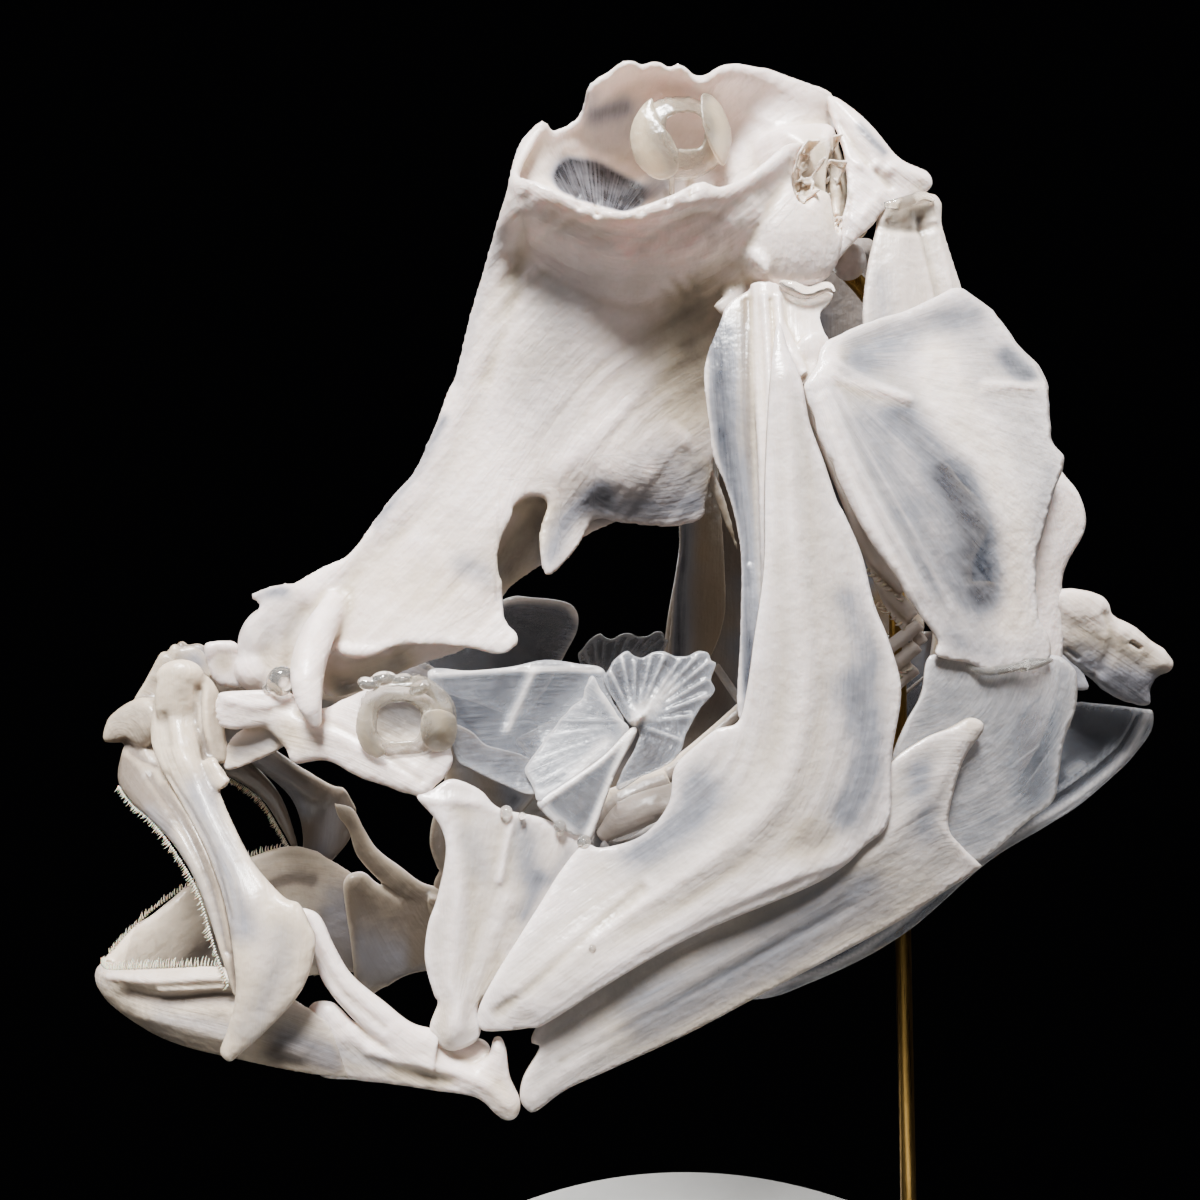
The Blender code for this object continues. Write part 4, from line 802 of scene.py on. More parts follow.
CUP_OUTLINE = [
    (512, 190), (514, 165), (526, 138), (546, 121), (553, 131), (575, 120), (584, 107),
    (587, 90), (598, 78), (611, 73), (615, 67), (628, 61), (638, 63), (642, 69), (647, 63),
    (660, 62), (669, 70), (674, 64), (686, 67), (693, 76), (703, 79), (712, 73), (725, 66),
    (743, 64), (774, 71), (804, 83), (832, 97), (836, 130), (815, 180), (780, 225),
    (740, 245), (690, 258), (640, 262), (590, 250), (545, 225),
]
CUP_DEPTHS = [
    (512, 190, -4.5), (514, 165, -3.5), (546, 121, -3), (587, 90, -3.5), (642, 64, -4.5),
    (703, 79, -4.5), (743, 64, -4.5), (804, 83, -4), (832, 97, -4), (836, 130, -3),
    (600, 150, 3.5), (650, 150, 4.5), (700, 150, 3), (750, 130, -1), (790, 150, -5),
    (620, 200, 3), (690, 200, 1), (620, 100, 0.5), (680, 100, 0.5),
    (545, 225, -8), (590, 250, -9.4), (640, 262, -9.8), (690, 258, -9.4), (740, 245, -9.4),
    (780, 225, -9.2),
]
KEEL_OUTLINE = [
    (322, 690), (350, 694), (410, 668), (480, 640), (505, 592), (545, 562), (600, 528),
    (670, 500), (690, 440), (640, 420), (560, 450), (480, 530), (400, 600), (330, 640),
]
KEEL_DEPTHS = [
    (322, 690, -2), (410, 668, 0), (505, 592, 1), (600, 528, 0), (670, 500, -1.5),
    (690, 440, -4), (640, 420, -5.2), (560, 450, -6), (480, 530, -6.2), (400, 600, -6),
    (330, 640, -4.5),
]
CASE_OUTLINE = [
    (750, 150), (786, 140), (816, 142), (826, 165), (834, 205), (832, 248), (820, 280),
    (790, 292), (748, 300), (716, 300), (694, 272), (704, 240), (735, 216), (746, 185),
]
CASE_DEPTHS = [(750, 150, 0.5), (826, 160, 0.5), (830, 280, 0.5), (716, 300, 0), (694, 272, -1)]
FRONT_ROLL = [(524, 150), (500, 240), (474, 330), (446, 425), (392, 515), (310, 586)]
NEAR_RIM = [(519, 176), (541, 187), (575, 202), (624, 215), (676, 198), (719, 191), (765, 166),
            (787, 146)]
ear = plate(
    [(770, 196), (788, 184), (806, 190), (826, 200), (837, 226), (835, 258), (820, 282),
     (790, 288), (762, 284), (744, 270), (748, 238)],
    [(770, 196, -9.8), (826, 200, -9.4), (836, 250, -9.2), (760, 282, -9.0), (795, 235, -10.4)],
    5.4, 2.6, 34)
skull = melted("neurocranium_bone", [
    plate(SHEET_OUTLINE, SHEET_DEPTHS, 1.2, 0.8, folds=[
        (FRONT_ROLL, 0.5, 16), (NEAR_RIM, 0.6, 12),
    ], swells=[
        (FRONT_ROLL, 1.1, 13), (NEAR_RIM, 1.5, 9),
        ([(345, 655), (400, 648), (510, 648)], 0.9, 9),
    ]),
    plate(CUP_OUTLINE, CUP_DEPTHS, 0.9, 0.8, ragged=1.4, swells=[
        ([(590, 98), (612, 78), (640, 70), (676, 74), (700, 84)], 0.9, 9),
        ([(706, 84), (725, 72), (745, 70), (774, 78), (804, 90), (830, 102)], 1.8, 13),
        ([(556, 141), (600, 160), (651, 187)], 0.5, 8),
    ]),
    plate(KEEL_OUTLINE, KEEL_DEPTHS, 1.6, 0.8),
    plate(CASE_OUTLINE, CASE_DEPTHS, 21.0, 7.0, soften=60),
    bar([(338, 600, -4.6, 1.6), (318, 634, -8.4, 2.1), (308, 668, -12.4, 2.1),
         (309, 700, -14.8, 1.6), (317, 728, -15.4, 0.6)]),
    ear,
    far_side(ear),
    lump(849, 262, 0.5, (2.2, 3.2, 2.6), lean=-20),
    lump(266, 640, -0.8, (3.4, 3.6, 4.6), lean=20),
    lump(258, 668, -1.5, (3.0, 3.4, 3.2)),
    bar([(748, 246, -9, 1.8), (760, 260, -11.5, 1.2), (768, 273, -12.6, 0.35)]),
    blade([(738, 276, -7.5), (722, 296, -8.8), (711, 305, -9.2)],
          [(752, 284, -7.5), (738, 306, -8.8), (726, 318, -9.2)], [1.8, 1.3, 0.9]),
    blade([(700, 470, -0.5), (716, 505, 0.6), (734, 545, 1.5)],
          [(712, 466, -0.5), (726, 500, 0.6), (742, 560, 1.5)], [1.4, 1.2, 0.8]),
], voxel=0.385, hollows=[
    lump(811, 168, -13.0, (1.9, 4.2, 4.4), lean=12),
    lump(837, 184, -10.5, (1.15, 3.6, 7.0), lean=6),
    lump(856, 226, 1.5, (4.5, 2.2, 2.0)),
])

# %% Neurocranium surface
SHEET_GRAIN = ("line", [(280, 650), (450, 470), (560, 330), (700, 240)])
RIM_GRAIN = ("line", [(520, 200), (580, 235), (640, 250), (710, 232), (785, 170)])
CUP_BAND = [(512, 176), (560, 198), (624, 216), (700, 192), (788, 146), (800, 190), (735, 262),
            (690, 290), (630, 306), (570, 280), (530, 250)]
sculpt(skull, [
    ([(530, 215), (580, 245), (640, 262), (700, 245), (745, 215)], 0.5, 20),
    ([(552, 274), (596, 299), (636, 309), (688, 291), (728, 264)], -0.25, 9),
    ([(470, 580), (440, 560), (420, 540)], 0.2, 16),
    ([(528, 200), (512, 300), (486, 380)], -0.35, 9),
    ([(560, 470), (610, 420), (690, 330)], 0.3, 12),
    ([(826, 135), (832, 180), (838, 228)], 0.4, 3),
    ([(336, 648), (360, 652), (386, 650)], 0.5, 6),
    ([(578, 196), (579, 207)], -0.7, 3), ([(598, 202), (597, 214)], -0.8, 3),
    ([(640, 202), (641, 212)], -0.5, 3), ([(668, 192), (668, 203)], -0.7, 3),
    ([(690, 182), (692, 194)], -0.6, 4), ([(302, 612), (286, 640), (284, 665)], -0.5, 9),
    ([(345, 600), (360, 560), (400, 530)], -0.25, 12), ([(470, 600), (500, 580)], 0.2, 10),
], (SHEET_GRAIN, 0.085, 1.25),
    (RIM_GRAIN, 0.17, 1.15, [([(660, 244), (710, 226), (776, 174)], 1.0, 15)]),
    (("line", [(560, 240), (640, 320)]), 0.24, 1.0,
     [([(545, 262), (590, 282), (640, 292), (680, 284)], 1.0, 12)]))
paint(skull, SHEET_GRAIN, 0.06, [
    ([(376, 522), (398, 492), (418, 466), (443, 420)], 0.75, 7),
    ([(457, 380), (478, 300), (500, 230)], 0.35, 8),
    ([(462, 566), (488, 576)], 0.5, 14), ([(254, 594), (282, 590)], 0.7, 9),
    ([(548, 562), (566, 520), (600, 490)], 0.6, 14),
    # the wide clear stroke from (560, 290) to (540, 400) is painted shade on the sheet's upper part
    ([(572, 179), (598, 184), (624, 196)], 4.0, 14), ([(560, 290), (540, 400)], 0.22, 46),
    ([(572, 166), (596, 166)], 0.5, 13), ([(638, 192), (662, 186)], 0.5, 12),
    ([(582, 195), (606, 201)], 1.5, 6),
    ([(544, 190), (575, 206), (600, 213), (624, 218), (652, 210)], -1.6, 7),
    ([(588, 96), (592, 114), (624, 106)], 0.55, 11), ([(600, 135), (640, 125)], 0.3, 22),
    ([(612, 508), (655, 512), (695, 505)], 0.6, 20), ([(650, 470), (690, 470)], 0.35, 24),
    ([(650, 470)], -0.4, 9), ([(572, 149), (612, 163), (640, 180)], -0.5, 7),
    ([(430, 600), (470, 630), (510, 640)], -0.3, 40), ([(800, 215), (830, 210)], -0.3, 20),
    ([(250, 640), (290, 620)], 0.3, 20),
], 0.08, [
    ([(380, 575), (430, 590)], 0.16, 30), ([(812, 150), (818, 180)], 0.4, 20),
    ([(838, 150), (838, 220)], 0.45, 12), ([(835, 320)], 0.6, 26),
    # the stroke at (735, 118) lightens the hollow shade painted on the cup's right wall; the one
    # from (690, 300) to (690, 400) is a painted shadow below the cup
    ([(735, 118), (770, 112)], -0.4, 26), ([(690, 300), (690, 400)], 0.5, 34),
    # the brown on the keel, from (330, 676) to (400, 665) and in the notch from (510, 570) to (540,
    # 520), is painted shade
    ([(262, 640), (285, 655), (290, 620)], 0.25, 16), ([(345, 690), (330, 676)], 0.3, 12),
    ([(345, 690), (400, 665)], 0.6, 16), ([(510, 570), (540, 520)], 0.7, 22),
    # the stroke from (556, 258) to (684, 274) lightens the hollow shade painted under the cup's rim
    ([(556, 258), (620, 284), (684, 274)], -0.35, 20), ([(500, 300), (540, 360)], 0.15, 30),
    ([(700, 470), (738, 552)], 0.6, 14),
], [(CUP_OUTLINE, ("fan", (600, 245))), (CUP_BAND, RIM_GRAIN),
    ([(594, 455), (710, 455), (706, 530), (594, 530)], ("rings", (655, 405))),
    ([(320, 700), (560, 700), (560, 480), (500, 480), (495, 600), (400, 655), (330, 665)],
     ("line", [(322, 690), (410, 660), (505, 590), (545, 500)]))])
hand_over(skull, DENSE, "bone", "neurocranium")
print("neurocranium", len(skull.data.polygons), "faces")

# %% [markdown]
# ## Spongy bone
#
# Inside thick bone lies a net of thin struts, and the pockets behind the braincase show it.
# Cutting a honeycomb would need very fine voxels, so struts are laid between the points of a
# cloud in each pocket and melted together.


# %% Struts in the two pockets
STRUT_ENDS, STRUT_RADIUS, STRUT_SAG = 46, 0.2, 0.2


def struts(middle, radii, lean):
    """Thin bars between near points on the inside of a leaned ellipsoid"""
    cloud = np.random.default_rng(STRUT_ENDS).normal(size=(STRUT_ENDS, 3))
    cloud /= np.linalg.norm(cloud, axis=1)[:, None]
    cloud[:, 1] = np.abs(cloud[:, 1])
    turn = np.array(Matrix.Rotation(math.radians(lean), 3, "Y"))
    places = sight(middle)[0] + (cloud * radii) @ turn.T
    made = []
    for place in places:
        reach = np.linalg.norm(places - place, axis=1)
        for other in np.argsort(reach)[1:4]:
            bow = (place + places[other]) / 2 + (0, STRUT_SAG, 0)
            ends = np.vstack([place, bow, places[other]])
            side = np.cross(directions(ends), (0, 1.0, 0.3))
            side /= np.linalg.norm(side, axis=1)[:, None]
            flat = np.cross(directions(ends), side)
            made.append(tube(ends, side * STRUT_RADIUS, flat * STRUT_RADIUS, 6))
    return made


spongy = melted("spongy_bone", struts((811, 168, -13.0), (1.9, 3.2, 4.2), 12)
                + struts((837, 184, -10.5), (1.3, 3.2, 7.2), 6), voxel=0.15, rounds=2)
paint(spongy, ("rings", (811, 168)), 0.1, (), 0.3)
hand_over(spongy, DENSE, "bone")
print("spongy bone", len(spongy.data.polygons), "faces")

# %% [markdown]
# ## Rings of the eyes and the snout's plate
#
# A thin cup of bone stands in each eye of many fishes and keeps it round. Here it is yellowish
# and glassy, with an opening for the lens and thicker flaps on both sides of it. The cup is
# lofted round its opening: each step round the eye adds one slice. The flaps are plates.


# %% Eye rings
def eye_cup(middle, reach, hole, hole_reach, y):
    """A cup of bone round an opening; middles and reaches are in picture points"""
    around = 96
    profile = np.array([(0, 1.6), (0.1, 0.5), (0.35, -0.3), (0.7, -0.7), (0.92, -0.9), (1, -0.6)])
    slices = np.vstack([profile, (profile + [0, 0.42])[::-1]])
    turn = 2 * math.pi * np.arange(around) / around
    rough = 1 + 0.03 * ripple(turn * 3, 1.5) + 0.02 * ripple(turn * 9, 4.5)
    square = 1 / (np.abs(np.cos(turn)) ** 3 + np.abs(np.sin(turn)) ** 3) ** (1 / 3)
    square *= 1 + 0.05 * ripple(turn * 5, 7.5)
    circle = np.column_stack([np.cos(turn), np.sin(turn)])
    outer = middle + circle * reach * rough[:, None]
    inner = hole + circle * hole_reach * square[:, None]
    rows = [sight(np.column_stack([outer + (inner - outer) * inward, np.full(around, y + deep)]))
            for inward, deep in slices]
    count = len(rows)
    faces = []
    for j in range(count):
        n = (j + 1) % count
        for k in range(around):
            m = (k + 1) % around
            a, b, c, d = j * around + k, j * around + m, n * around + m, n * around + k
            faces += [(a, b, c), (a, c, d)]
    return np.vstack(rows), np.array(faces)


upper_ring = melted("sclerotic_ring_upper_bone", [
    eye_cup((679, 138), (50, 43), (685, 131), (20, 18), -3.5),
    plate([(652, 98), (638, 112), (630, 134), (635, 160), (650, 176), (664, 180), (677, 172),
           (679, 156), (672, 138), (660, 122), (654, 110)],
          [(650, 100, -3.6), (630, 134, -3.2), (664, 180, -3.6), (660, 140, -5.0)],
          0.8, 0.3, 14, step=3),
    plate([(702, 94), (713, 97), (724, 112), (731, 135), (728, 156), (722, 166), (712, 150),
           (705, 132), (701, 112)],
          [(702, 94, -4.8), (731, 135, -3.6), (722, 166, -4.2), (708, 130, -6.0)],
          0.5, 0.3, 10, step=3),
    bar([(672, 176, -3.2, 0.4), (672, 196, -1.0, 0.4)]),
], voxel=0.17, rounds=2)
paint(upper_ring, ("rings", (683, 133)), 0.85, [
    ([(645, 112), (640, 140), (655, 168)], -0.65, 14),
    ([(714, 105), (722, 130), (718, 156)], -0.6, 10),
], 0.45)
hand_over(upper_ring, CUP, "clear_bone", "sclerotic_ring_upper")
lower_ring = melted("sclerotic_ring_lower_bone", [
    eye_cup((406, 719), (50, 46), (399, 722), (22, 19), -16.4),
    plate([(424, 712), (440, 709), (455, 716), (457, 732), (450, 748), (434, 752), (424, 744),
           (420, 728)],
          [(424, 712, -17.6), (457, 732, -16.2), (434, 752, -16.8), (436, 730, -18.2)],
          0.4, 0.25, 10, step=3),
    plate([(372, 700), (360, 708), (356, 728), (362, 748), (376, 758), (386, 752), (378, 740),
           (373, 722)],
          [(372, 700, -16.8), (356, 728, -16.2), (376, 758, -16.8), (374, 730, -17.6)],
          0.4, 0.25, 10, step=3),
], voxel=0.17, rounds=2)
paint(lower_ring, ("rings", (400, 721)), 0.95, [
    ([(440, 714), (446, 732), (436, 748)], -0.5, 12),
    ([(364, 712), (362, 735), (374, 752)], -0.45, 9),
], 0.8)
hand_over(lower_ring, CUP, "clear_bone", "sclerotic_ring_lower")

# %% Nasal plate
nasal = new_bone("nasal_bone", *plate(
    [(205, 650), (208, 643), (222, 641), (236, 643), (243, 660), (244, 684), (232, 687),
     (218, 684), (210, 672)],
    [(206, 648, -1.6), (236, 644, -1.6), (218, 686, -1.6)], 1.2, 0.4, 12, step=3.5,
    folds=[([(207, 652), (216, 643), (236, 645)], 0.5, 5)]))
paint(nasal, ("line", [(214, 646), (222, 686)]), 0.2, (), 0.1, [([(224, 664)], 0.5, 13)])
hand_over(nasal, DENSE, "bone", "nasal")

# %% [markdown]
# ## Upper jaw
#
# The premaxilla carries the upper teeth and slides forward when the fish gapes, so it has a
# long process behind its beak. The maxilla behind it has a knobbed head and a broad lower
# end. Both are solid, so they are blades and plates, melted in voxels of a quarter millimetre.

# %% Premaxilla
upper_bar = blade(
    [(128, 742, -1.4), (122, 762, -3), (119, 784, -6), (132, 804, -9.5), (150, 820, -12.5),
     (176, 848, -15.5), (200, 891, -18.5), (219, 949, -21), (234, 997, -22.5)],
    [(146, 726, -1.4), (154, 744, -3), (164, 764, -6), (176, 785, -9.5), (189, 807, -12.5),
     (203, 836, -15.5), (223, 885, -18.5), (234, 948, -21), (238, 996, -22.5)],
    [2.4, 3.2, 3.2, 2.8, 2.6, 2.4, 2.0, 1.6, 0.7])
beak = plate(
    [(108, 741), (110, 724), (115, 715), (133, 702), (150, 698), (162, 714), (160, 734),
     (146, 748), (130, 742)],
    [(108, 740, -1.6), (133, 703, -2.2), (152, 722, -4.4), (146, 748, -3.6)],
    3.0, 1.4, 14, step=3)
riser = plate(
    [(133, 704), (146, 680), (159, 656), (163, 651), (168, 652), (172, 645), (177, 644),
     (181, 648), (192, 646), (203, 652), (210, 666), (212, 678), (196, 676), (180, 672),
     (167, 690), (160, 712), (150, 722), (138, 716)],
    [(133, 703, -1.9), (175, 645, -1.5), (210, 668, -1.4), (150, 722, -2.6)],
    1.5, 0.7, 10, step=3,
    swells=[([(166, 655), (160, 676)], 0.6, 4), ([(176, 650), (172, 668)], 0.6, 4)])
premaxilla = melted("premaxilla_left_bone", [upper_bar, beak, riser], voxel=0.24, rounds=3)
JAW_GRAIN = ("line", [(120, 740), (150, 790), (200, 850), (236, 996)])
sculpt(premaxilla, [
    ([(150, 776), (186, 830), (211, 890), (227, 950)], -0.45, 6),
    ([(166, 782), (196, 832), (219, 892), (231, 950)], 0.3, 2.5),
    ([(124, 744), (140, 756), (156, 762)], -0.5, 5),
], (JAW_GRAIN, 0.03, 0.9))
# The premaxilla's cream is partly its own colour and partly painted shade; the brown along its
# toothed front edge, from (122, 768) to (160, 822), is painted shade.
paint(premaxilla, JAW_GRAIN, 0.1, [
    ([(150, 812), (190, 870), (214, 930)], 0.3, 8), ([(196, 660)], 0.5, 12),
], 0.7, [
    ([(116, 738), (140, 744)], 0.2, 8), ([(122, 768), (136, 790), (160, 822)], 0.6, 13),
    ([(166, 786), (200, 845), (224, 905), (236, 990)], 0.3, 4),
])
both_sides(premaxilla, DENSE)

# %% Maxilla
maxilla = melted("maxilla_left_bone", [plate(
    [(159, 678), (168, 664), (184, 661), (198, 668), (200, 684), (204, 720), (208, 754),
     (219, 765), (228, 779), (220, 792), (236, 830), (256, 866), (284, 897), (299, 903),
     (309, 922), (316, 943), (303, 988), (271, 1026), (240, 1054), (230, 1061), (221, 1050),
     (227, 1032), (236, 998), (235, 960), (226, 905), (210, 858), (194, 826), (174, 790),
     (160, 765), (152, 740), (154, 708)],
    [(178, 670, -6.5), (155, 720, -6.5), (205, 740, -8.5), (226, 779, -11.5),
     (175, 790, -12.6), (215, 800, -13.8), (210, 858, -18.2), (250, 860, -19.6),
     (236, 960, -24.0), (300, 910, -23.5), (316, 943, -24), (230, 1058, -24.5),
     (190, 745, -9.5)],
    2.2, 0.8, 22, step=4, swells=[
        ([(178, 675), (178, 720), (190, 765)], 1.5, 16),
        ([(190, 765), (214, 815), (238, 862), (256, 900)], 1.2, 14),
    ]),
    lump(180, 677, -7.3, (2.8, 1.5, 2.2)), lump(176, 700, -7.8, (2.4, 1.3, 4.6), lean=4),
    plate([(196, 680), (203, 675), (212, 682), (220, 698), (223, 716), (225, 738), (228, 752),
           (222, 764), (208, 756), (198, 730)],
          [(200, 680, -6.8), (222, 716, -7.0), (212, 758, -9.6)], 2.0, 0.8, 14, step=3),
    plate([(192, 770), (200, 762), (214, 757), (218, 764), (221, 767), (223, 773), (229, 779),
           (226, 785), (220, 790), (211, 789), (200, 786)],
          [(194, 770, -11.6), (216, 758, -12.4), (220, 789, -13.8)], 1.0, 0.7, 8, step=2.5,
          ragged=0.9),
], voxel=0.24, rounds=4)
MAXILLA_GRAIN = ("line", [(178, 670), (180, 740), (215, 820), (250, 900), (236, 1050)])
sculpt(maxilla, [
    ([(166, 776), (190, 812), (212, 858), (228, 920)], -0.35, 4),
    ([(270, 905), (286, 950), (262, 1010)], -0.2, 12),
    ([(200, 690), (200, 720), (206, 756)], -0.5, 4), ([(164, 716), (168, 744)], -0.3, 5),
    ([(222, 800), (240, 846), (262, 888)], 0.2, 4),
], (MAXILLA_GRAIN, 0.03, 1.0))
# The maxilla's base cream and the clear band from (196, 790) to (244, 930) darken it, partly as
# painted shade and partly as its own cream.
paint(maxilla, MAXILLA_GRAIN, 0.08, [
    ([(282, 940), (274, 980), (250, 1030)], 0.3, 18),
    ([(196, 790), (226, 860), (244, 930)], 0.5, 16),
], 0.5, [
    ([(182, 690)], 0.25, 10), ([(214, 700), (216, 744)], 0.3, 12),
    ([(172, 800), (204, 860), (232, 930)], 0.35, 10),
    ([(216, 790), (214, 800)], 0.3, 6), ([(256, 900), (262, 960)], -0.2, 18),
])
both_sides(maxilla, DENSE)

# %% [markdown]
# ## Lower jaw
#
# The dentary bows round the mouth and carries the lower teeth. The articular holds the joint
# with the quadrate, its heel and a long arm that rises inside the jaw.

# %% Dentary
lower_bar = blade(
    [(101, 963, -0.6), (102, 966, -5.5), (109, 970, -10), (135, 969, -14), (180, 967, -18),
     (221, 966, -20.3), (256, 976, -21.3), (290, 996, -21.8), (330, 1022, -21.8)],
    [(116, 988, -0.6), (122, 998, -5), (136, 1014, -9), (160, 1034, -13.5),
     (195, 1049, -17.3), (235, 1059, -19.8), (275, 1068, -21), (308, 1074, -21.8),
     (350, 1079, -21.8)],
    [3.0, 3.2, 3.2, 3.0, 2.8, 2.4, 2.0, 1.6, 0.9])
dentary = melted("dentary_left_bone", [lower_bar], voxel=0.24, rounds=4)
DENTARY_GRAIN = ("line", [(101, 966), (150, 990), (230, 1010), (345, 1050)])
sculpt(dentary, [
    ([(110, 976), (160, 980), (226, 977), (262, 988)], 0.6, 6),
    ([(128, 996), (165, 1002), (226, 998), (268, 1010)], -0.8, 8),
    ([(160, 990), (200, 989), (226, 987)], 0.25, 2.5),
    ([(140, 1016), (200, 1030), (300, 1052)], 0.4, 9),
], (DENTARY_GRAIN, 0.04, 1.0))
# The dentary's base cream is partly painted shade; the brown along its groove, along its lower edge
# and at its rear, from (280, 1050), is painted shade of the downward-facing jaw.
paint(dentary, DENTARY_GRAIN, 0.1, [
    ([(160, 1018), (200, 1024), (240, 1034)], 0.3, 10), ([(290, 1034), (330, 1052)], 0.3, 20),
], 0.35, [
    ([(122, 992), (165, 1003), (230, 1000), (262, 1010)], 0.45, 9),
    ([(128, 1010), (166, 1036), (200, 1047), (240, 1057)], 0.4, 7),
    ([(280, 1050), (336, 1060)], 0.7, 18),
], behind=0.25)
both_sides(dentary, DENSE, deep=True)

# %% Articular
arm = blade(
    [(292, 905, -20.4), (318, 914, -20.6), (334, 945, -21), (352, 975, -21.4),
     (386, 1003, -21.8), (412, 1023, -22), (440, 1030, -22)],
    [(298, 925, -20.4), (312, 945, -20.6), (322, 980, -21), (345, 1010, -21.4),
     (376, 1040, -21.8), (402, 1060, -22), (430, 1080, -22)],
    [1.0, 1.8, 2.0, 2.2, 2.4, 2.6, 2.8])
heel = plate(
    [(332, 1004), (352, 1022), (385, 1042), (402, 1040), (430, 1030), (446, 1052),
     (470, 1064), (488, 1056), (493, 1040), (500, 1037), (506, 1049), (510, 1077),
     (520, 1100), (518, 1114), (508, 1119), (496, 1113), (476, 1096), (434, 1089),
     (398, 1083), (356, 1078), (322, 1074), (314, 1050), (306, 1020), (312, 1004)],
    [(332, 1004, -21.0), (402, 1050, -21.8), (398, 1084, -21.6), (446, 1052, -21.6),
     (476, 1095, -22), (500, 1037, -22), (515, 1110, -22.4), (370, 1070, -21.4),
     (322, 1074, -20.0), (306, 1020, -20.0)],
    2.4, 0.8, 18, step=4)
socket = plate(
    [(424, 1028), (440, 1032), (462, 1036), (484, 1040), (491, 1052), (480, 1068), (446, 1064),
     (426, 1050)],
    [(424, 1040, -20.6), (462, 1036, -20.2), (488, 1056, -20.6)], 1.6, 0.9, 12)
articular = melted("articular_left_bone", [heel, arm, socket], voxel=0.25, rounds=3)
ARTICULAR_GRAIN = ("line", [(300, 915), (345, 990), (410, 1050), (510, 1100)])
sculpt(articular, [
    ([(370, 1052), (430, 1066), (480, 1080), (508, 1104)], 0.4, 7),
    ([(350, 1050), (400, 1072), (450, 1082)], -0.3, 8),
    ([(306, 925), (336, 985), (384, 1028)], -0.3, 5),
], (ARTICULAR_GRAIN, 0.04, 0.8))
paint(articular, ARTICULAR_GRAIN, 0.05, [([(330, 1050), (380, 1066)], 0.4, 12)], 0.05, [
    ([(500, 1090), (512, 1110)], 0.35, 14), ([(350, 1060), (400, 1074), (440, 1080)], 0.5, 10),
])
both_sides(articular, DENSE, deep=True)

# %% [markdown]
# ## Palate
#
# From the upper jaw back to the cheek run the palatine bar, the clear plate of the
# entopterygoid, the quadrate over the jaw joint, the small symplectic and the scalloped fan of
# the metapterygoid. The clear ones are plates with a fine comb of growth lines.

# %% Palatine and quadrate
palatine = melted("palatine_left_bone", [plate(
    [(217, 702), (228, 691), (262, 694), (285, 690), (320, 708), (350, 697), (372, 688),
     (410, 688), (436, 702), (446, 730), (452, 762), (436, 784), (422, 797), (404, 792),
     (361, 777), (330, 761), (294, 763), (284, 744), (262, 727), (240, 729), (222, 722)],
    [(217, 705, -8.8), (285, 715, -10.5), (330, 735, -12.5), (372, 690, -12),
     (410, 690, -12.5), (361, 777, -15), (422, 795, -17.2), (452, 762, -15.5)],
    2.6, 0.8, 24, step=4, ragged=1.5, swells=[
        ([(228, 708), (290, 722), (350, 738), (410, 775)], 0.8, 14),
    ]),
    plate([(224, 692), (218, 695), (221, 699), (216, 702), (220, 706), (215, 710), (219, 713),
           (216, 717), (221, 720), (219, 724), (228, 728), (240, 729), (262, 726), (290, 722),
           (300, 706), (286, 691), (262, 690)],
          [(217, 700, -10.2), (222, 724, -10.4), (256, 706, -10.9), (298, 706, -10.4)],
          1.8, 0.9, 9, step=2.5),
    plate([(224, 764), (228, 745), (240, 731), (262, 724), (286, 740), (278, 750), (258, 760),
           (230, 770)],
          [(226, 766, -9.0), (240, 731, -8.6), (286, 742, -10.4)], 1.0, 0.6, 12, step=3),
], voxel=0.25, rounds=2)
PALATINE_GRAIN = ("line", [(217, 706), (290, 724), (350, 742), (440, 785)])
sculpt(palatine, [
    ([(300, 712), (340, 728), (380, 752), (420, 780)], -0.3, 5),
    ([(228, 700), (260, 706), (290, 700)], 0.3, 5),
], (PALATINE_GRAIN, 0.05, 1.2))
paint(palatine, PALATINE_GRAIN, 0.06, [
    ([(380, 700), (430, 720)], 0.4, 22), ([(240, 752), (268, 742)], 0.4, 12)], 0.08, [
    ([(236, 756), (272, 742)], 0.5, 13), ([(290, 722), (296, 744)], 0.3, 14),
    ([(398, 724)], 0.6, 26)])
both_sides(palatine, DENSE)
QUADRATE_OUTLINE = [
    (417, 797), (432, 790), (452, 779), (480, 790), (499, 808), (545, 819), (584, 843),
    (566, 872), (545, 905), (528, 935), (500, 975), (478, 1006), (481, 1028), (474, 1042),
    (452, 1050), (436, 1042), (430, 1026), (438, 1003), (434, 994), (425, 960), (428, 925),
    (437, 898), (446, 852), (439, 824),
]
quadrate = new_bone("quadrate_left_bone", *plate(
    QUADRATE_OUTLINE,
    [(414, 799, -17.5), (480, 790, -16.5), (584, 843, -16.5), (446, 852, -18.5),
     (528, 935, -19), (425, 960, -20.5), (450, 1040, -22.3), (480, 1020, -22)],
    1.0, 0.4, 18, step=3.5, ridges=[
        ([(513, 812), (505, 845), (498, 880)], 0.5, 3.5),
        ([(584, 843), (556, 885), (530, 930)], 0.3, 2.5),
        ([(424, 800), (470, 800), (540, 816)], 0.5, 7),
    ], swells=[
        ([(452, 1034), (450, 980), (455, 900), (440, 820)], 1.7, 14),
        ([(460, 1020), (480, 960), (505, 900)], 0.8, 10),
    ], comb=(("fan", (450, 1050)), 0.07, 1.2)))
paint(quadrate, ("fan", (450, 1050)), 0.2, [
    ([(524, 832), (530, 876)], 0.4, 14), ([(540, 880), (524, 916)], 0.4, 9),
    ([(470, 836), (480, 870)], 0.2, 12), ([(574, 846), (552, 880)], 0.3, 8),
], 0.22, [([(440, 1010), (446, 1044)], 0.25, 12), ([(500, 960), (480, 1000)], 0.3, 8)])
both_sides(quadrate, THIN)

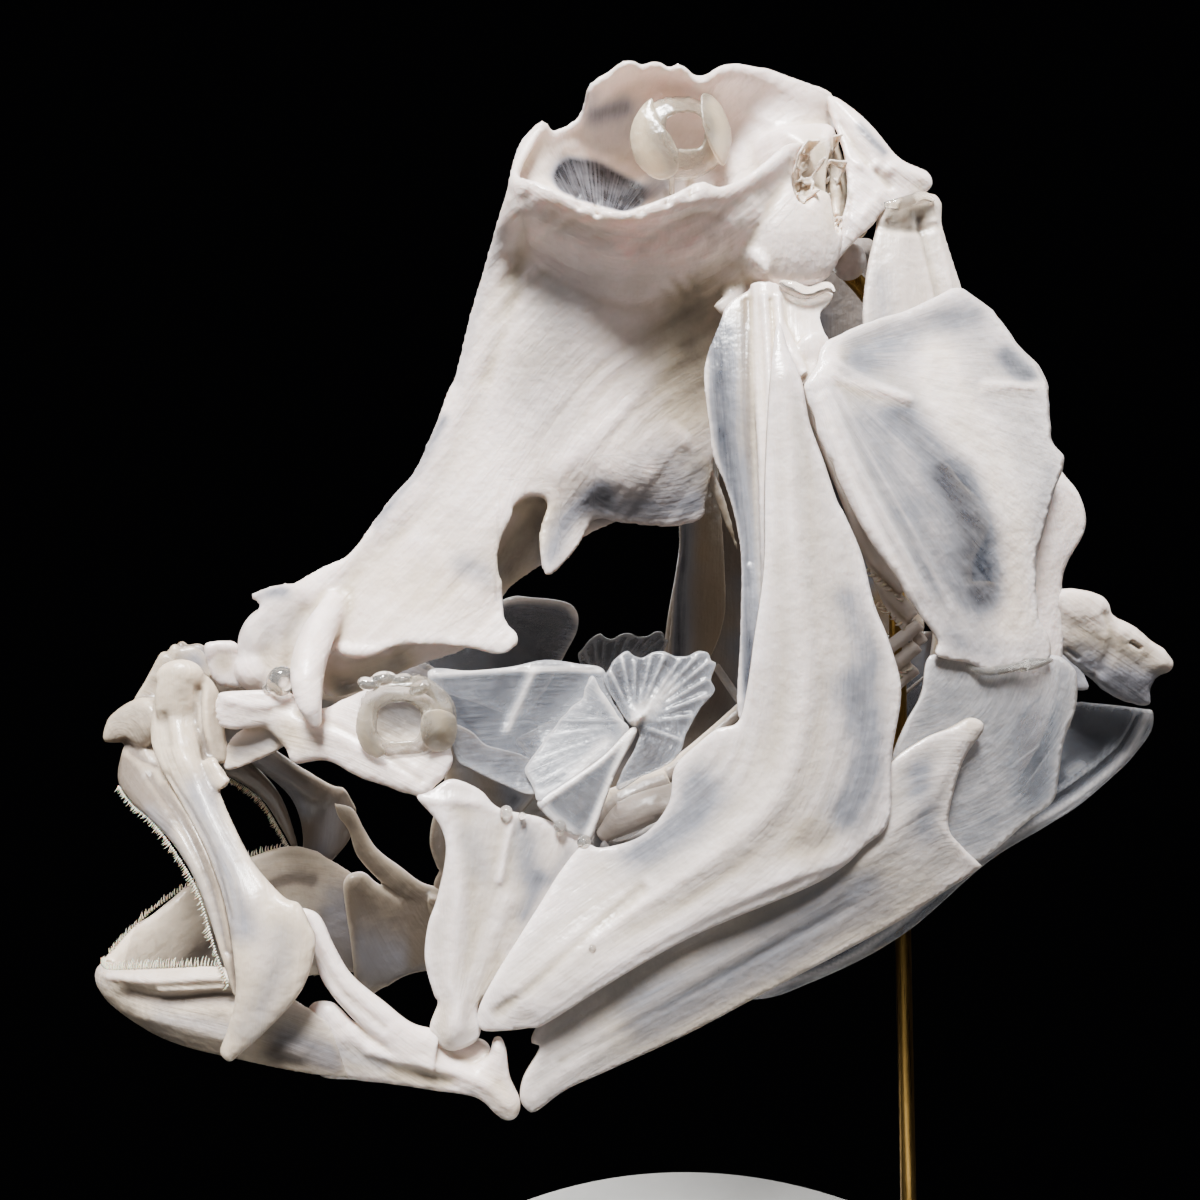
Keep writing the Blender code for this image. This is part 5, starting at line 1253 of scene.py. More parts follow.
# %% Entopterygoids, symplectic and metapterygoid
ENTO_OUTLINE = [
    (428, 672), (469, 671), (510, 667), (545, 660), (579, 664), (604, 670), (612, 700),
    (624, 724), (600, 748), (560, 774), (534, 794), (503, 784), (470, 768), (456, 758),
    (446, 720),
]
ENTO_GRAIN = ("line", [(428, 690), (510, 684), (604, 682)])
ento = new_bone("entopterygoid_left_bone", *plate(
    ENTO_OUTLINE,
    [(428, 672, -11), (510, 667, -9.5), (604, 670, -10.5), (624, 724, -13.3),
     (534, 794, -16), (456, 758, -14.5), (540, 730, -11)],
    0.45, 0.3, 14, step=3.5, ridges=[
        ([(440, 676), (510, 671), (580, 668)], 0.25, 3),
        ([(533, 672), (520, 700), (507, 730)], 0.3, 4),
    ], comb=(ENTO_GRAIN, 0.03, 0.7)))
paint(ento, ENTO_GRAIN, 0.92, [
    ([(430, 674), (510, 669), (600, 670)], -0.6, 3.5), ([(533, 672), (507, 730)], -0.45, 7),
    ([(450, 700), (470, 745)], 0.1, 14), ([(592, 690), (560, 730), (540, 790)], -0.3, 14),
], 0.1)
torn = new_bone("palate_sheet_torn", *plate(
    [(592, 676), (604, 694), (620, 718), (629, 731), (606, 754), (572, 780), (541, 801),
     (532, 784), (525, 769), (532, 757), (546, 738), (561, 718), (574, 706), (584, 698)],
    [(592, 676, -11.6), (630, 731, -14.6), (540, 798, -17.0), (561, 718, -12.6)],
    0.35, 0.3, 8, step=3, ragged=2.0, comb=(("fan", (636, 722)), 0.1, 0.7)))
paint(torn, ("fan", (636, 722)), 0.7, [([(606, 742), (572, 774)], -0.4, 6),
                                       ([(600, 690), (624, 724)], -0.4, 5)], 0.02)
hand_over(torn, SCALE, "clear_bone")
hand_over(ento, SCALE, "clear_bone", "entopterygoid_left")
ento_right = new_bone("entopterygoid_right_bone", *plate(
    [(418, 668), (440, 640), (503, 600), (533, 598), (565, 602), (577, 612), (577, 630),
     (566, 652), (545, 690), (520, 715), (470, 700), (440, 690)],
    [(418, 668, 12), (503, 600, 10), (577, 612, 11), (545, 690, 13), (470, 700, 14.5)],
    0.45, 0.3, 14, step=4))
paint(ento_right, ("line", [(418, 668), (503, 604), (577, 612)]), 0.9, [
    ([(503, 600), (533, 598), (565, 602), (577, 615)], -0.6, 6),
], 0.2)
hand_over(ento_right, SCALE, "clear_bone", "entopterygoid_right")
symplectic = new_bone("symplectic_left_bone", *plate(
    [(630, 729), (636, 734), (614, 775), (592, 838), (584, 837), (567, 832), (545, 814),
     (538, 801), (562, 785), (602, 757)],
    [(630, 729, -14.6), (590, 838, -17), (538, 801, -17), (575, 800, -16.6)],
    0.5, 0.4, 10, step=3, ridges=[
        ([(630, 731), (600, 760), (542, 802)], 0.5, 3),
        ([(632, 733), (611, 780), (588, 835)], 0.5, 3),
    ]))
paint(symplectic, ("rings", (640, 720)), 0.85, [
    ([(630, 731), (600, 760), (542, 802)], -0.7, 5),
    ([(632, 733), (611, 780), (588, 835)], -0.7, 5),
    ([(545, 808), (570, 830)], -0.4, 6),
])
both_sides(symplectic, SCALE, "clear_bone")
FAN_TIPS = [(610, 672), (622, 660), (634, 662), (650, 658), (664, 656), (680, 660), (696, 657),
            (708, 662), (706, 680), (706, 696), (692, 716), (680, 740)]
meta = new_bone("metapterygoid_left_bone", *plate(
    [(604, 680), (608, 670), (614, 660), (626, 651), (633, 655), (642, 658), (653, 652),
     (664, 651), (675, 656), (688, 656), (698, 651), (708, 653), (711, 661), (716, 664),
     (711, 679), (715, 691), (701, 707), (687, 732), (680, 753), (664, 767), (641, 777),
     (618, 790), (624, 768), (640, 736), (628, 722), (616, 702)],
    [(604, 680, -11.5), (664, 651, -11), (716, 664, -13), (687, 732, -14.8),
     (618, 790, -16), (634, 724, -14), (650, 700, -12)],
    0.45, 0.3, 10, step=2.5, ragged=0.8,
    ridges=[([(634, 724), tip], 0.4, 2.6) for tip in FAN_TIPS],
    comb=(("rings", (630, 725)), 0.07, 0.5)))
paint(meta, ("rings", (630, 725)), 0.95, [
    ([(634, 724), tip], -0.2, 2) for tip in FAN_TIPS] + [([(642, 712), (670, 688)], -0.4, 12)], 0.1)
both_sides(meta, SCALE, "clear_bone")

# %% [markdown]
# ## Cheek
#
# The hyomandibula hangs the jaws from the braincase. The preopercle is the great crescent
# behind it, and the interopercle runs along its lower edge to the heel of the jaw.

# %% Hyomandibula
HYO_GRAIN = ("line", [(765, 290), (770, 400), (782, 560), (785, 690)])
hyo = melted("hyomandibula_left_bone", [
    plate([(750, 290), (762, 283), (784, 287), (808, 293), (826, 286), (833, 294), (829, 304),
           (820, 314), (823, 330), (832, 350), (824, 376), (804, 384),
           (798, 400), (800, 440), (805, 500), (815, 570), (818, 640), (800, 700), (760, 725),
           (738, 715), (740, 636), (741, 560), (734, 515), (724, 482), (713, 456), (709, 423),
           (704, 382), (707, 356), (719, 325), (728, 304)],
          [(762, 286, -10.2), (829, 296, -11.0), (824, 330, -13.8), (832, 352, -16.0),
           (704, 382, -11.5), (724, 482, -13), (741, 560, -15.5), (738, 715, -18.5),
           (805, 500, -17.8), (818, 640, -19.3), (760, 400, -14.9), (760, 600, -17.6)],
          0.7, 0.45, 14, step=4, swells=[
              ([(760, 292), (800, 300), (824, 298)], 0.8, 14),
              ([(790, 320), (808, 348)], 0.9, 20)]),
    blade([(750, 284, -10.6), (752, 340, -12.6), (754, 400, -15.0), (757, 450, -16.3),
           (759, 520, -17.4), (761, 590, -18.2), (764, 690, -19.4)],
          [(786, 292, -10.8), (790, 345, -13.4), (790, 400, -15.8), (790, 450, -17.0),
           (794, 520, -18.0), (800, 590, -18.8), (800, 690, -20.2)],
          [3.0, 2.8, 2.4, 2.2, 2.0, 1.8, 1.4]),
    lump(814, 351, -15.6, (2.2, 0.9, 2.4), lean=20),
    blade([(770, 318, -13.2), (784, 350, -15.4), (800, 378, -17.0)],
          [(780, 312, -13.0), (796, 346, -15.2), (808, 372, -17.0)], [0.8, 1.2, 1.0]),
], voxel=0.22, rounds=3)
sculpt(hyo, [
    ([(764, 296), (768, 360), (772, 430)], 0.5, 3.5),
    ([(778, 296), (782, 360), (784, 440)], 0.4, 3),
    ([(771, 300), (775, 360), (778, 430)], -0.35, 2.5),
    ([(748, 300), (746, 400), (750, 560)], -0.2, 4),
], (HYO_GRAIN, 0.03, 1.0))
paint(hyo, HYO_GRAIN, 0.04, [
    ([(718, 335), (722, 430), (738, 540), (748, 690)], 0.95, 22),
    ([(706, 360), (708, 420), (722, 480), (738, 540), (740, 700)], -0.55, 3.5),
    ([(764, 300), (768, 400), (774, 560)], -0.1, 14),
], 0.12, [
    # the brown stroke from (744, 300) to (753, 640) is a painted shadow beside the pillar
    ([(744, 300), (747, 420), (751, 560), (753, 640)], 0.9, 6),
    ([(725, 345), (730, 430)], 0.3, 16), ([(790, 560), (800, 640)], 0.25, 12),
])
both_sides(hyo, THIN)

# %% Preopercle
PREOP_OUTLINE = [
    (778, 322), (788, 350), (801, 382), (809, 423), (822, 458), (836, 500), (844, 515), (861, 555),
    (873, 603), (887, 638), (899, 679), (899, 707), (891, 755), (888, 821), (863, 846),
    (838, 869), (802, 889), (700, 932), (622, 975), (547, 1022), (529, 1027), (503, 1030),
    (480, 1028), (479, 1008), (496, 974), (521, 934), (540, 904), (562, 869), (584, 844),
    (602, 848), (643, 835), (669, 803), (675, 767), (700, 742), (717, 729), (738, 722),
    (747, 690), (754, 640), (764, 566), (765, 484), (768, 413), (772, 360),
]
CREST = [(780, 380), (785, 480), (795, 600), (800, 700), (770, 800), (690, 870), (600, 930),
         (520, 990)]
preop = new_bone("preopercle_left_bone", *plate(
    PREOP_OUTLINE,
    [(779, 326, -16.4), (790, 360, -18.2), (768, 413, -18.6), (809, 423, -18.8),
     (763, 566, -20.6), (861, 555, -20), (750, 660, -21.3), (899, 690, -21), (717, 729, -20.5),
     (888, 821, -21.8), (675, 767, -19.5), (602, 848, -18.5), (800, 800, -22.6),
     (700, 860, -22.4), (838, 869, -22), (560, 905, -20.4), (700, 932, -22.6),
     (600, 960, -23), (500, 980, -22.8), (520, 1028, -23.4), (486, 1022, -23.2)],
    1.0, 0.45, 22, step=4, swells=[
        (CREST, 1.6, 16),
        ([(846, 850), (760, 880), (640, 940), (540, 1005)], 0.9, 13),
    ], ridges=[
        ([(641, 889), (570, 950), (499, 1010)], -0.5, 6),
        ([(846, 858), (760, 888), (640, 950), (540, 1015)], 0.3, 5),
    ], comb=(("line", CREST), 0.08, 1.1)))
paint(preop, ("line", CREST), 0.2, [
    ([(700, 790), (680, 820), (640, 845)], 0.6, 26),
    ([(855, 690), (870, 760), (850, 810)], 0.55, 24),
    ([(850, 600), (870, 660)], 0.4, 16),
], 0.15, [([(810, 838)], 0.6, 20), (CREST, 0.12, 20)])
both_sides(preop, THIN)

# %% Interopercle
INTEROP_LINES = ("line", [(530, 1100), (620, 1045), (720, 990), (840, 920), (950, 860)])
interop = new_bone("interopercle_left_bone", *plate(
    [(524, 1076), (540, 1047), (531, 1040), (548, 1012), (600, 962), (680, 912),
     (760, 872), (830, 842), (866, 810), (889, 765), (924, 739), (951, 728), (970, 718),
     (981, 722), (981, 732), (965, 754), (955, 782), (947, 825), (960, 845), (977, 862),
     (977, 869), (931, 899), (899, 920), (850, 947), (753, 998), (687, 1033), (607, 1070),
     (565, 1089), (536, 1110), (526, 1108), (520, 1097)],
    [(530, 1100, -21.8), (540, 1030, -21.3), (680, 930, -21.0), (830, 860, -20.4),
     (893, 765, -20.4), (975, 725, -20.4), (947, 825, -20), (977, 866, -18.4),
     (753, 998, -20.0), (607, 1070, -21.2), (890, 840, -20.6)],
    0.8, 0.4, 18, step=4, swells=[
        ([(535, 1095), (600, 1040), (700, 975), (820, 900), (900, 820), (960, 745)], 0.8, 14),
        ([(960, 728), (976, 726)], 1.0, 12),
    ], ridges=[
        ([(945, 828), (960, 847), (975, 864)], 0.3, 4),
        ([(560, 1060), (700, 985), (850, 905)], -0.2, 4),
    ], comb=(INTEROP_LINES, 0.08, 1.2)))
paint(interop, INTEROP_LINES, 0.36, [
    ([(640, 1010), (760, 950), (860, 880)], 0.25, 20),
    ([(920, 770), (925, 830)], 0.3, 16),
# the broad brown band from (640, 1020) to (860, 890) is painted shade on the lower middle
], 0.28, [([(972, 724)], 0.3, 14), ([(640, 1020), (760, 950), (860, 890)], 0.8, 28),
    ([(700, 1010), (800, 950), (920, 890)], 0.25, 20)])
both_sides(interop, THIN)

# %% [markdown]
# ## Gill cover
#
# The opercle is a large thin plate that fans out from its hinge on the hyomandibula. Its rear
# edge is so thin that it is torn. The subopercle lies below it, as smooth as a fingernail.

# %% Opercle and subopercle
opercle = new_bone("opercle_left_bone", *plate(
    [(826, 342), (854, 328), (879, 319), (915, 307), (953, 289), (969, 294), (992, 312),
     (1017, 345), (1035, 363), (1045, 379), (1047, 391), (1048, 417), (1049, 437),
     (1053, 446), (1063, 456), (1061, 469), (1050, 501), (1040, 537), (1035, 562),
     (1036, 600), (1038, 619), (1048, 638), (1048, 658), (1027, 661), (994, 670),
     (967, 663), (937, 656), (939, 642), (928, 624), (907, 596), (896, 576), (873, 544),
     (848, 500), (824, 446), (812, 412), (804, 388), (808, 378), (816, 366), (820, 350)],
    [(830, 345, -17.6), (808, 382, -19.0), (812, 400, -19.3), (879, 319, -16.5), (960, 291, -16),
     (1045, 379, -15.5), (1061, 469, -15.5), (848, 500, -20.6), (940, 420, -19.8),
     (980, 520, -20.2), (1036, 600, -17), (1048, 658, -16.5), (907, 596, -21),
     (937, 656, -20.6), (994, 670, -19.4)],
    0.8, 0.4, 20, step=4, ragged=1.2, swells=[
        ([(820, 385), (850, 470), (905, 585)], 0.7, 14),
        ([(818, 372), (832, 352)], 0.8, 16),
    ], ridges=[
        ([(830, 365), (870, 385), (905, 400)], 0.5, 6),
        ([(985, 386), (1045, 388)], 0.3, 5),
        ([(822, 372), (846, 384), (905, 402)], 0.35, 4),
        ([(818, 400), (838, 460), (866, 520), (905, 590)], 0.35, 4),
        ([(826, 396), (852, 460), (884, 520), (925, 600)], 0.3, 4),
        ([(836, 396), (868, 455), (905, 520), (950, 610)], 0.22, 4),
        ([(846, 350), (880, 336), (950, 322)], -0.3, 14),
    ], comb=(("fan", (806, 356)), 0.06, 1.0)))
paint(opercle, ("fan", (806, 356)), 0.28, [
    ([(902, 415), (922, 440), (940, 468)], 0.5, 18),
    ([(960, 488), (980, 535), (984, 590)], 0.95, 24),
    ([(1008, 356), (1026, 374)], 0.6, 12), ([(870, 430), (900, 500), (935, 575)], 0.3, 30),
    ([(858, 358), (890, 345), (930, 330), (970, 312)], 0.4, 22),
    ([(950, 640), (985, 655)], 0.3, 16), ([(1052, 470), (1040, 540)], 0.25, 9),
    ([(935, 350), (948, 400), (985, 450), (1010, 540), (1015, 620)], -0.5, 22),
    ([(812, 372), (832, 352)], -0.4, 14), ([(822, 368), (846, 382), (905, 402)], -0.5, 6),
    ([(985, 386), (1046, 388)], -0.6, 5),
    ([(820, 395), (845, 460), (872, 520), (912, 590)], -0.3, 7),
], 0.05, [
    ([(935, 350), (948, 400), (985, 450), (1010, 540), (1015, 620)], 0.12, 24),
    ([(845, 355), (875, 345)], 0.2, 16),
])
both_sides(opercle, THIN, "clear_bone")
subop = new_bone("subopercle_left_bone", *plate(
    [(930, 656), (965, 662), (994, 668), (1027, 660), (1046, 656), (1058, 656), (1070, 665),
     (1076, 676), (1075, 707), (1063, 741), (1058, 775), (1052, 801), (1027, 821),
     (981, 859), (955, 856), (930, 836), (902, 800), (891, 764), (905, 725), (921, 695)],
    [(930, 660, -19.7), (994, 670, -18.5), (1048, 656, -15.7), (1075, 707, -14.8),
     (1052, 801, -15.5), (982, 858, -17.6), (897, 760, -19.6), (970, 760, -18.8)],
    0.5, 0.3, 16, step=4, comb=(("rings", (900, 640)), 0.03, 1.3)))
paint(subop, ("rings", (900, 640)), 0.55, [([(1035, 730), (1040, 790)], 0.3, 22)], 0.08)
both_sides(subop, SCALE, "clear_bone")

# %% [markdown]
# ## Throat and gills
#
# The hyoid bar carries long curved rays, the gill arches bend behind the cheek, and a large
# clear plate, the urohyal, hangs in the middle of the throat.

# %% Hyoid, gill arches and urohyal
hyoid_pieces = [blade(
    [(604, 838, -3.6), (640, 880, -8), (700, 870, -11.5), (780, 825, -13), (840, 790, -13.5)],
    [(592, 868, -3.6), (640, 930, -8), (720, 925, -11.5), (800, 875, -13), (850, 815, -13.5)],
    [1.6, 2.4, 2.6, 2.4, 1.6])]
hyoid_pieces.append(bar([(842, 806, -13.5, 1.0), (828, 765, -15.2, 0.8), (800, 706, -18.3, 0.7)]))
HYOID_RAYS = [
    [(650, 935), (740, 960), (840, 940), (930, 893)],
    [(690, 925), (790, 925), (890, 890), (985, 842)],
    [(730, 908), (830, 895), (930, 850), (1022, 795)],
    [(765, 888), (860, 860), (960, 805), (1040, 745)],
    [(795, 868), (880, 825), (970, 765), (1042, 695)],
]
for k, ray in enumerate(HYOID_RAYS):
    deep = [-11.5, -14.2, -14.6, -13.4 - 0.1 * k]
    wide = [10, 22, 20, 4] if k == 0 else [9, 12, 10, 4]
    hyoid_pieces.append(blade(
        [(u, v - w / 2, y) for (u, v), w, y in zip(ray, wide, deep)],
        [(u, v + w / 2, y) for (u, v), w, y in zip(ray, wide, deep)],
        [1.0, 0.8, 0.7, 0.6]))
hyoid = melted("hyoid_left_bone", hyoid_pieces, voxel=0.27, rounds=2)
paint(hyoid, ("line", [(620, 870), (760, 900), (900, 880), (1000, 820)]), 0.55, (), 0.12)
both_sides(hyoid, THIN, "clear_bone")
SPINE = [(786, 350, -4), (812, 410, -5.5), (840, 480, -6.8), (870, 552, -9), (905, 590, -11.5)]
arches = [bar([(764, 296, -2.6, 1.2), (776, 326, -3, 1.3), (800, 362, -4, 1.7),
               (812, 380, -4.6, 1.2)])]
for k in range(3):
    arches.append(bar([(u + 9 * k, v + 27 * k * min(1, 0.1 + 0.25 * j), y, 0.95)
                       for j, (u, v, y) in enumerate(SPINE)]))
gills_up = melted("gill_arches_upper_left_bone", arches, voxel=0.27, rounds=3)
paint(gills_up, ("line", [(786, 350), (840, 480), (905, 590)]), 0.15, (), 0.3)
both_sides(gills_up, DENSE)
arches = [bar([(600, 838, -2.8, 1.0), (630, 815, -3.2, 2.4), (680, 795, -3.8, 2.0)])]
for k in range(3):
    arches.append(bar([
        (618 + 18 * k, 812 - 4 * k, -3.2, 1.5), (690 + 14 * k, 800 - 14 * k, -6, 1.3),
        (770 + 10 * k, 768 - 22 * k, -8.5, 1.1), (850 + 6 * k, 720 - 26 * k, -10.5, 1.0),
        (916 + 2 * k, 668 - 22 * k, -12, 0.9)]))
gills_low = melted("gill_arches_lower_left_bone", arches, voxel=0.27, rounds=3)
paint(gills_low, ("line", [(618, 812), (770, 768), (916, 668)]), 0.15, (), 0.3)
both_sides(gills_low, DENSE)
UROHYAL_RIM = [(1146, 715), (1126, 752), (1075, 797), (985, 854), (860, 950), (764, 990)]
urohyal = new_bone("urohyal_bone", *plate(
    [(1144, 709), (1152, 712), (1150, 731), (1132, 756), (1114, 774), (1079, 804),
     (1043, 827), (989, 860), (932, 910), (905, 932), (864, 957), (812, 981), (762, 998),
     (700, 994), (715, 965), (780, 945), (850, 915), (930, 865), (1000, 815), (1030, 780),
     (1060, 735), (1072, 705), (1100, 704)],
    [(1144, 709, -2.6), (1079, 804, -0.8), (903, 900, 1.25), (700, 990, 0),
     (850, 915, 0.6), (1072, 705, -2.6)],
    0.5, 0.4, 10, step=3.5, swells=[(UROHYAL_RIM, 0.9, 4)],
    ridges=[([(1134, 712), (1112, 746), (1062, 786), (975, 838)], 0.4, 3)]))
paint(urohyal, ("line", UROHYAL_RIM), 0.95, [
    (UROHYAL_RIM, -0.35, 4), ([(1070, 771), (1082, 764)], -0.4, 6),
], 0.15)
hand_over(urohyal, SCALE, "clear_bone", "urohyal")

# %% [markdown]
# ## Shoulder
#
# The posttemporal ties the shoulder to the braincase, the supracleithrum hangs from it, and
# the cleithrum curves down behind the gill cover, with the lumpy root of the fin behind it.

# %% Shoulder bones
cleithrum = new_bone("cleithrum_left_bone", *plate(
    [(940, 392), (985, 380), (1040, 436), (1061, 472), (1076, 491), (1084, 514),
     (1082, 534), (1066, 562), (1060, 587), (1062, 640), (1056, 690), (1040, 740),
     (1000, 800), (940, 850), (880, 886), (842, 928), (824, 926), (846, 884), (880, 850),
     (940, 790), (985, 725), (1012, 650), (1018, 570), (1010, 500), (985, 450)],
    [(950, 390, -13.3), (1040, 436, -13), (1084, 514, -11.5), (1010, 500, -13),
     (1062, 620, -10.5), (1015, 620, -11), (1000, 780, -8), (940, 810, -7.2),
     (832, 927, -0.8), (846, 892, -3.2), (880, 868, -5.2)],
    1.4, 0.5, 18, step=4, swells=[
        ([(975, 405), (1035, 490), (1048, 560), (1040, 650), (1000, 760), (900, 860)], 1.0, 14),
    ]))
paint(cleithrum, ("line", [(975, 405), (1035, 490), (1040, 650), (900, 860)]), 0.04)
both_sides(cleithrum, DENSE)
scapula = melted("scapula_left_bone", [
    plate([(1050, 592), (1093, 592), (1107, 603), (1110, 612), (1130, 624), (1148, 638),
           (1162, 649), (1171, 661), (1168, 671), (1153, 677), (1148, 690), (1146, 704),
           (1120, 700), (1096, 684), (1072, 662), (1052, 636)],
          [(1056, 600, -10.6), (1110, 612, -10), (1171, 661, -8), (1146, 704, -6.5),
           (1080, 665, -8.5)], 2.6, 0.9, 22, step=4, ragged=2.0, swells=[
              ([(1075, 602), (1100, 612)], 0.9, 17), ([(1118, 630), (1135, 640)], 1.0, 10),
              ([(1155, 660)], 1.2, 12)])], voxel=0.26, rounds=3)
sculpt(scapula, [
    ([(1108, 616), (1112, 640), (1104, 670)], -0.45, 6), ([(1132, 643), (1140, 648)], -0.6, 2),
    ([(1068, 650), (1078, 658)], -0.6, 2), ([(1080, 674), (1092, 676)], -0.6, 2),
], (("line", [(1050, 600), (1170, 680)]), 0.1, 0.9))
# The clear band along the bottom and the brown above it make the scapula darker towards the bottom,
# as painted shade.
paint(scapula, ("line", [(1050, 600), (1170, 680)]), 0.1, [
    ([(1076, 668), (1115, 684), (1150, 692)], 0.75, 24),
], 0.2, [([(1085, 650), (1125, 660), (1150, 676)], 0.4, 22)])
both_sides(scapula, DENSE)
supra = melted("supracleithrum_left_bone", [plate(
    [(876, 205), (885, 196), (900, 196), (930, 195), (940, 206), (941, 225), (950, 256),
     (962, 293), (975, 340), (980, 390), (950, 398), (910, 392), (875, 360), (863, 326),
     (867, 270), (877, 224)],
    [(876, 205, -9.5), (940, 206, -9.5), (863, 326, -12), (962, 293, -12), (950, 398, -13.2)],
    1.5, 0.7, 20, step=4, swells=[
        ([(900, 206), (895, 270), (905, 370)], 1.0, 14),
        ([(884, 206), (908, 207), (932, 206)], 1.8, 12)])], voxel=0.25, rounds=3)
SUPRA_GRAIN = ("line", [(905, 200), (905, 280), (920, 390)])
sculpt(supra, [
    ([(920, 220), (930, 260), (944, 320), (958, 380)], -0.5, 4),
    ([(934, 222), (944, 262), (956, 320)], 0.3, 4),
    ([(880, 226), (908, 230), (938, 226)], -0.3, 4),
], (SUPRA_GRAIN, 0.025, 1.0))
paint(supra, SUPRA_GRAIN, 0.2, [([(880, 280), (884, 350)], 0.3, 14)],
      0.25, [([(908, 205)], 0.35, 24)])
both_sides(supra, DENSE)
post = melted("posttemporal_left_bone", [plate(
    [(827, 97), (850, 109), (872, 129), (897, 159), (925, 173), (931, 186), (921, 195),
     (900, 204), (882, 212), (873, 225), (858, 238), (846, 251), (836, 262), (830, 256),
     (837, 232), (846, 204), (847, 180), (843, 150), (834, 122)],
    [(830, 100, -5.5), (872, 130, -8.5), (928, 182, -9.5), (850, 246, -10.4),
     (835, 258, -10), (845, 150, -8.6), (862, 190, -10)],
    1.3, 0.8, 14, step=3.5, swells=[
        ([(836, 108), (868, 138), (895, 170), (922, 182)], 1.4, 9),
        ([(880, 196), (858, 224), (838, 254)], 0.7, 8),
        ([(858, 168)], 1.0, 6), ([(872, 170)], 0.9, 5), ([(885, 174)], 0.9, 5)])],
    voxel=0.24, rounds=3)
sculpt(post, [
    ([(840, 124), (858, 150), (890, 186)], -0.4, 4), ([(850, 200), (842, 232)], -0.3, 3),
    ([(839, 228), (837, 240)], -0.6, 2.5),
], (("line", [(838, 100), (870, 135), (928, 182)]), 0.08, 0.7))
paint(post, ("line", [(838, 100), (870, 135), (928, 182)]), 0.03, [
    ([(860, 126), (884, 152)], 0.75, 4.5), ([(852, 220), (842, 244)], 0.3, 5)], 0.0, [
    ([(918, 190)], 0.3, 8)])
both_sides(post, DENSE)

# %% [markdown]
# ## Teeth and rakers
#
# This fish has bands of hair-fine teeth and combs of gill rakers. Each is a small hooked
# spike set many times along a line, so one Geometry Nodes tree makes them all: it spaces
# points on the line, sets a spike on each, and leans and sizes it at random.


# %% The tree for rows of spikes
def spike_tree():
    """Spikes along a line, with named inputs for their sizes"""
    tree = bpy.data.node_groups.new("spike_row", "GeometryNodeTree")
    face = tree.interface
    face.new_socket("Line", in_out="INPUT", socket_type="NodeSocketGeometry")
    for name, value in (("Spacing", 0.6), ("Length", 1.1), ("Root", 0.16), ("Hook", 0.25),
                        ("Scatter", 0.3)):
        made = face.new_socket(name, in_out="INPUT", socket_type="NodeSocketFloat")
        made.default_value = value
    face.new_socket("Aim", in_out="INPUT", socket_type="NodeSocketVector")
    face.new_socket("Seed", in_out="INPUT", socket_type="NodeSocketInt")
    face.new_socket("Finish", in_out="INPUT", socket_type="NodeSocketMaterial")
    face.new_socket("Spikes", in_out="OUTPUT", socket_type="NodeSocketGeometry")
    given = tree.nodes.new("NodeGroupInput").outputs
    line = add(tree, "GeometryNodeMeshToCurve", None, {"Mesh": given["Line"]})
    spots = add(tree, "GeometryNodeResampleCurve", {"mode": "LENGTH"},
                {"Curve": line, "Length": given["Spacing"]})
    cone = add(tree, "GeometryNodeMeshCone", {"fill_type": "TRIANGLE_FAN"},
               {"Vertices": 7, "Side Segments": 4, "Radius Top": 0.0,
                "Radius Bottom": given["Root"], "Depth": given["Length"]})
    place = add(tree, "GeometryNodeInputPosition")
    height = add(tree, "ShaderNodeSeparateXYZ", None, {0: place}, out=2)
    share = add(tree, "ShaderNodeMath", {"operation": "DIVIDE"}, {0: height, 1: given["Length"]})
    square = add(tree, "ShaderNodeMath", {"operation": "POWER"}, {0: share, 1: 2.0})
    bend = add(tree, "ShaderNodeMath", {"operation": "MULTIPLY"}, {0: square, 1: given["Length"]})
    bend = add(tree, "ShaderNodeMath", {"operation": "MULTIPLY"}, {0: bend, 1: given["Hook"]})
    offset = add(tree, "ShaderNodeCombineXYZ", None, {0: bend})
    hooked = add(tree, "GeometryNodeSetPosition", None, {"Geometry": cone, "Offset": offset})
    chance = add(tree, "FunctionNodeRandomValue", {"data_type": "FLOAT_VECTOR"},
                 {0: (-1, -1, -1), 1: (1, 1, 1), "Seed": given["Seed"]})
    sway = add(tree, "ShaderNodeVectorMath", {"operation": "SCALE"},
               {0: chance, "Scale": given["Scatter"]})
    aim = add(tree, "ShaderNodeVectorMath", {"operation": "ADD"}, {0: given["Aim"], 1: sway})
    turn = add(tree, "FunctionNodeAlignRotationToVector", {"axis": "Z"}, {"Vector": aim})
    size = add(tree, "FunctionNodeRandomValue", {"data_type": "FLOAT"},
               {2: 0.65, 3: 1.2, "Seed": given["Seed"]}, out=1)
    rows = add(tree, "GeometryNodeInstanceOnPoints", None,
               {"Points": spots, "Instance": hooked, "Rotation": turn, "Scale": size})
    real = add(tree, "GeometryNodeRealizeInstances", None, {0: rows})
    smooth = add(tree, "GeometryNodeSetShadeSmooth", None, {"Geometry": real})
    dressed = add(tree, "GeometryNodeSetMaterial", None,
                  {"Geometry": smooth, "Material": given["Finish"]})
    out = tree.nodes.new("NodeGroupOutput")
    tree.links.new(dressed, out.inputs[0])
    return tree


SPIKES = spike_tree()


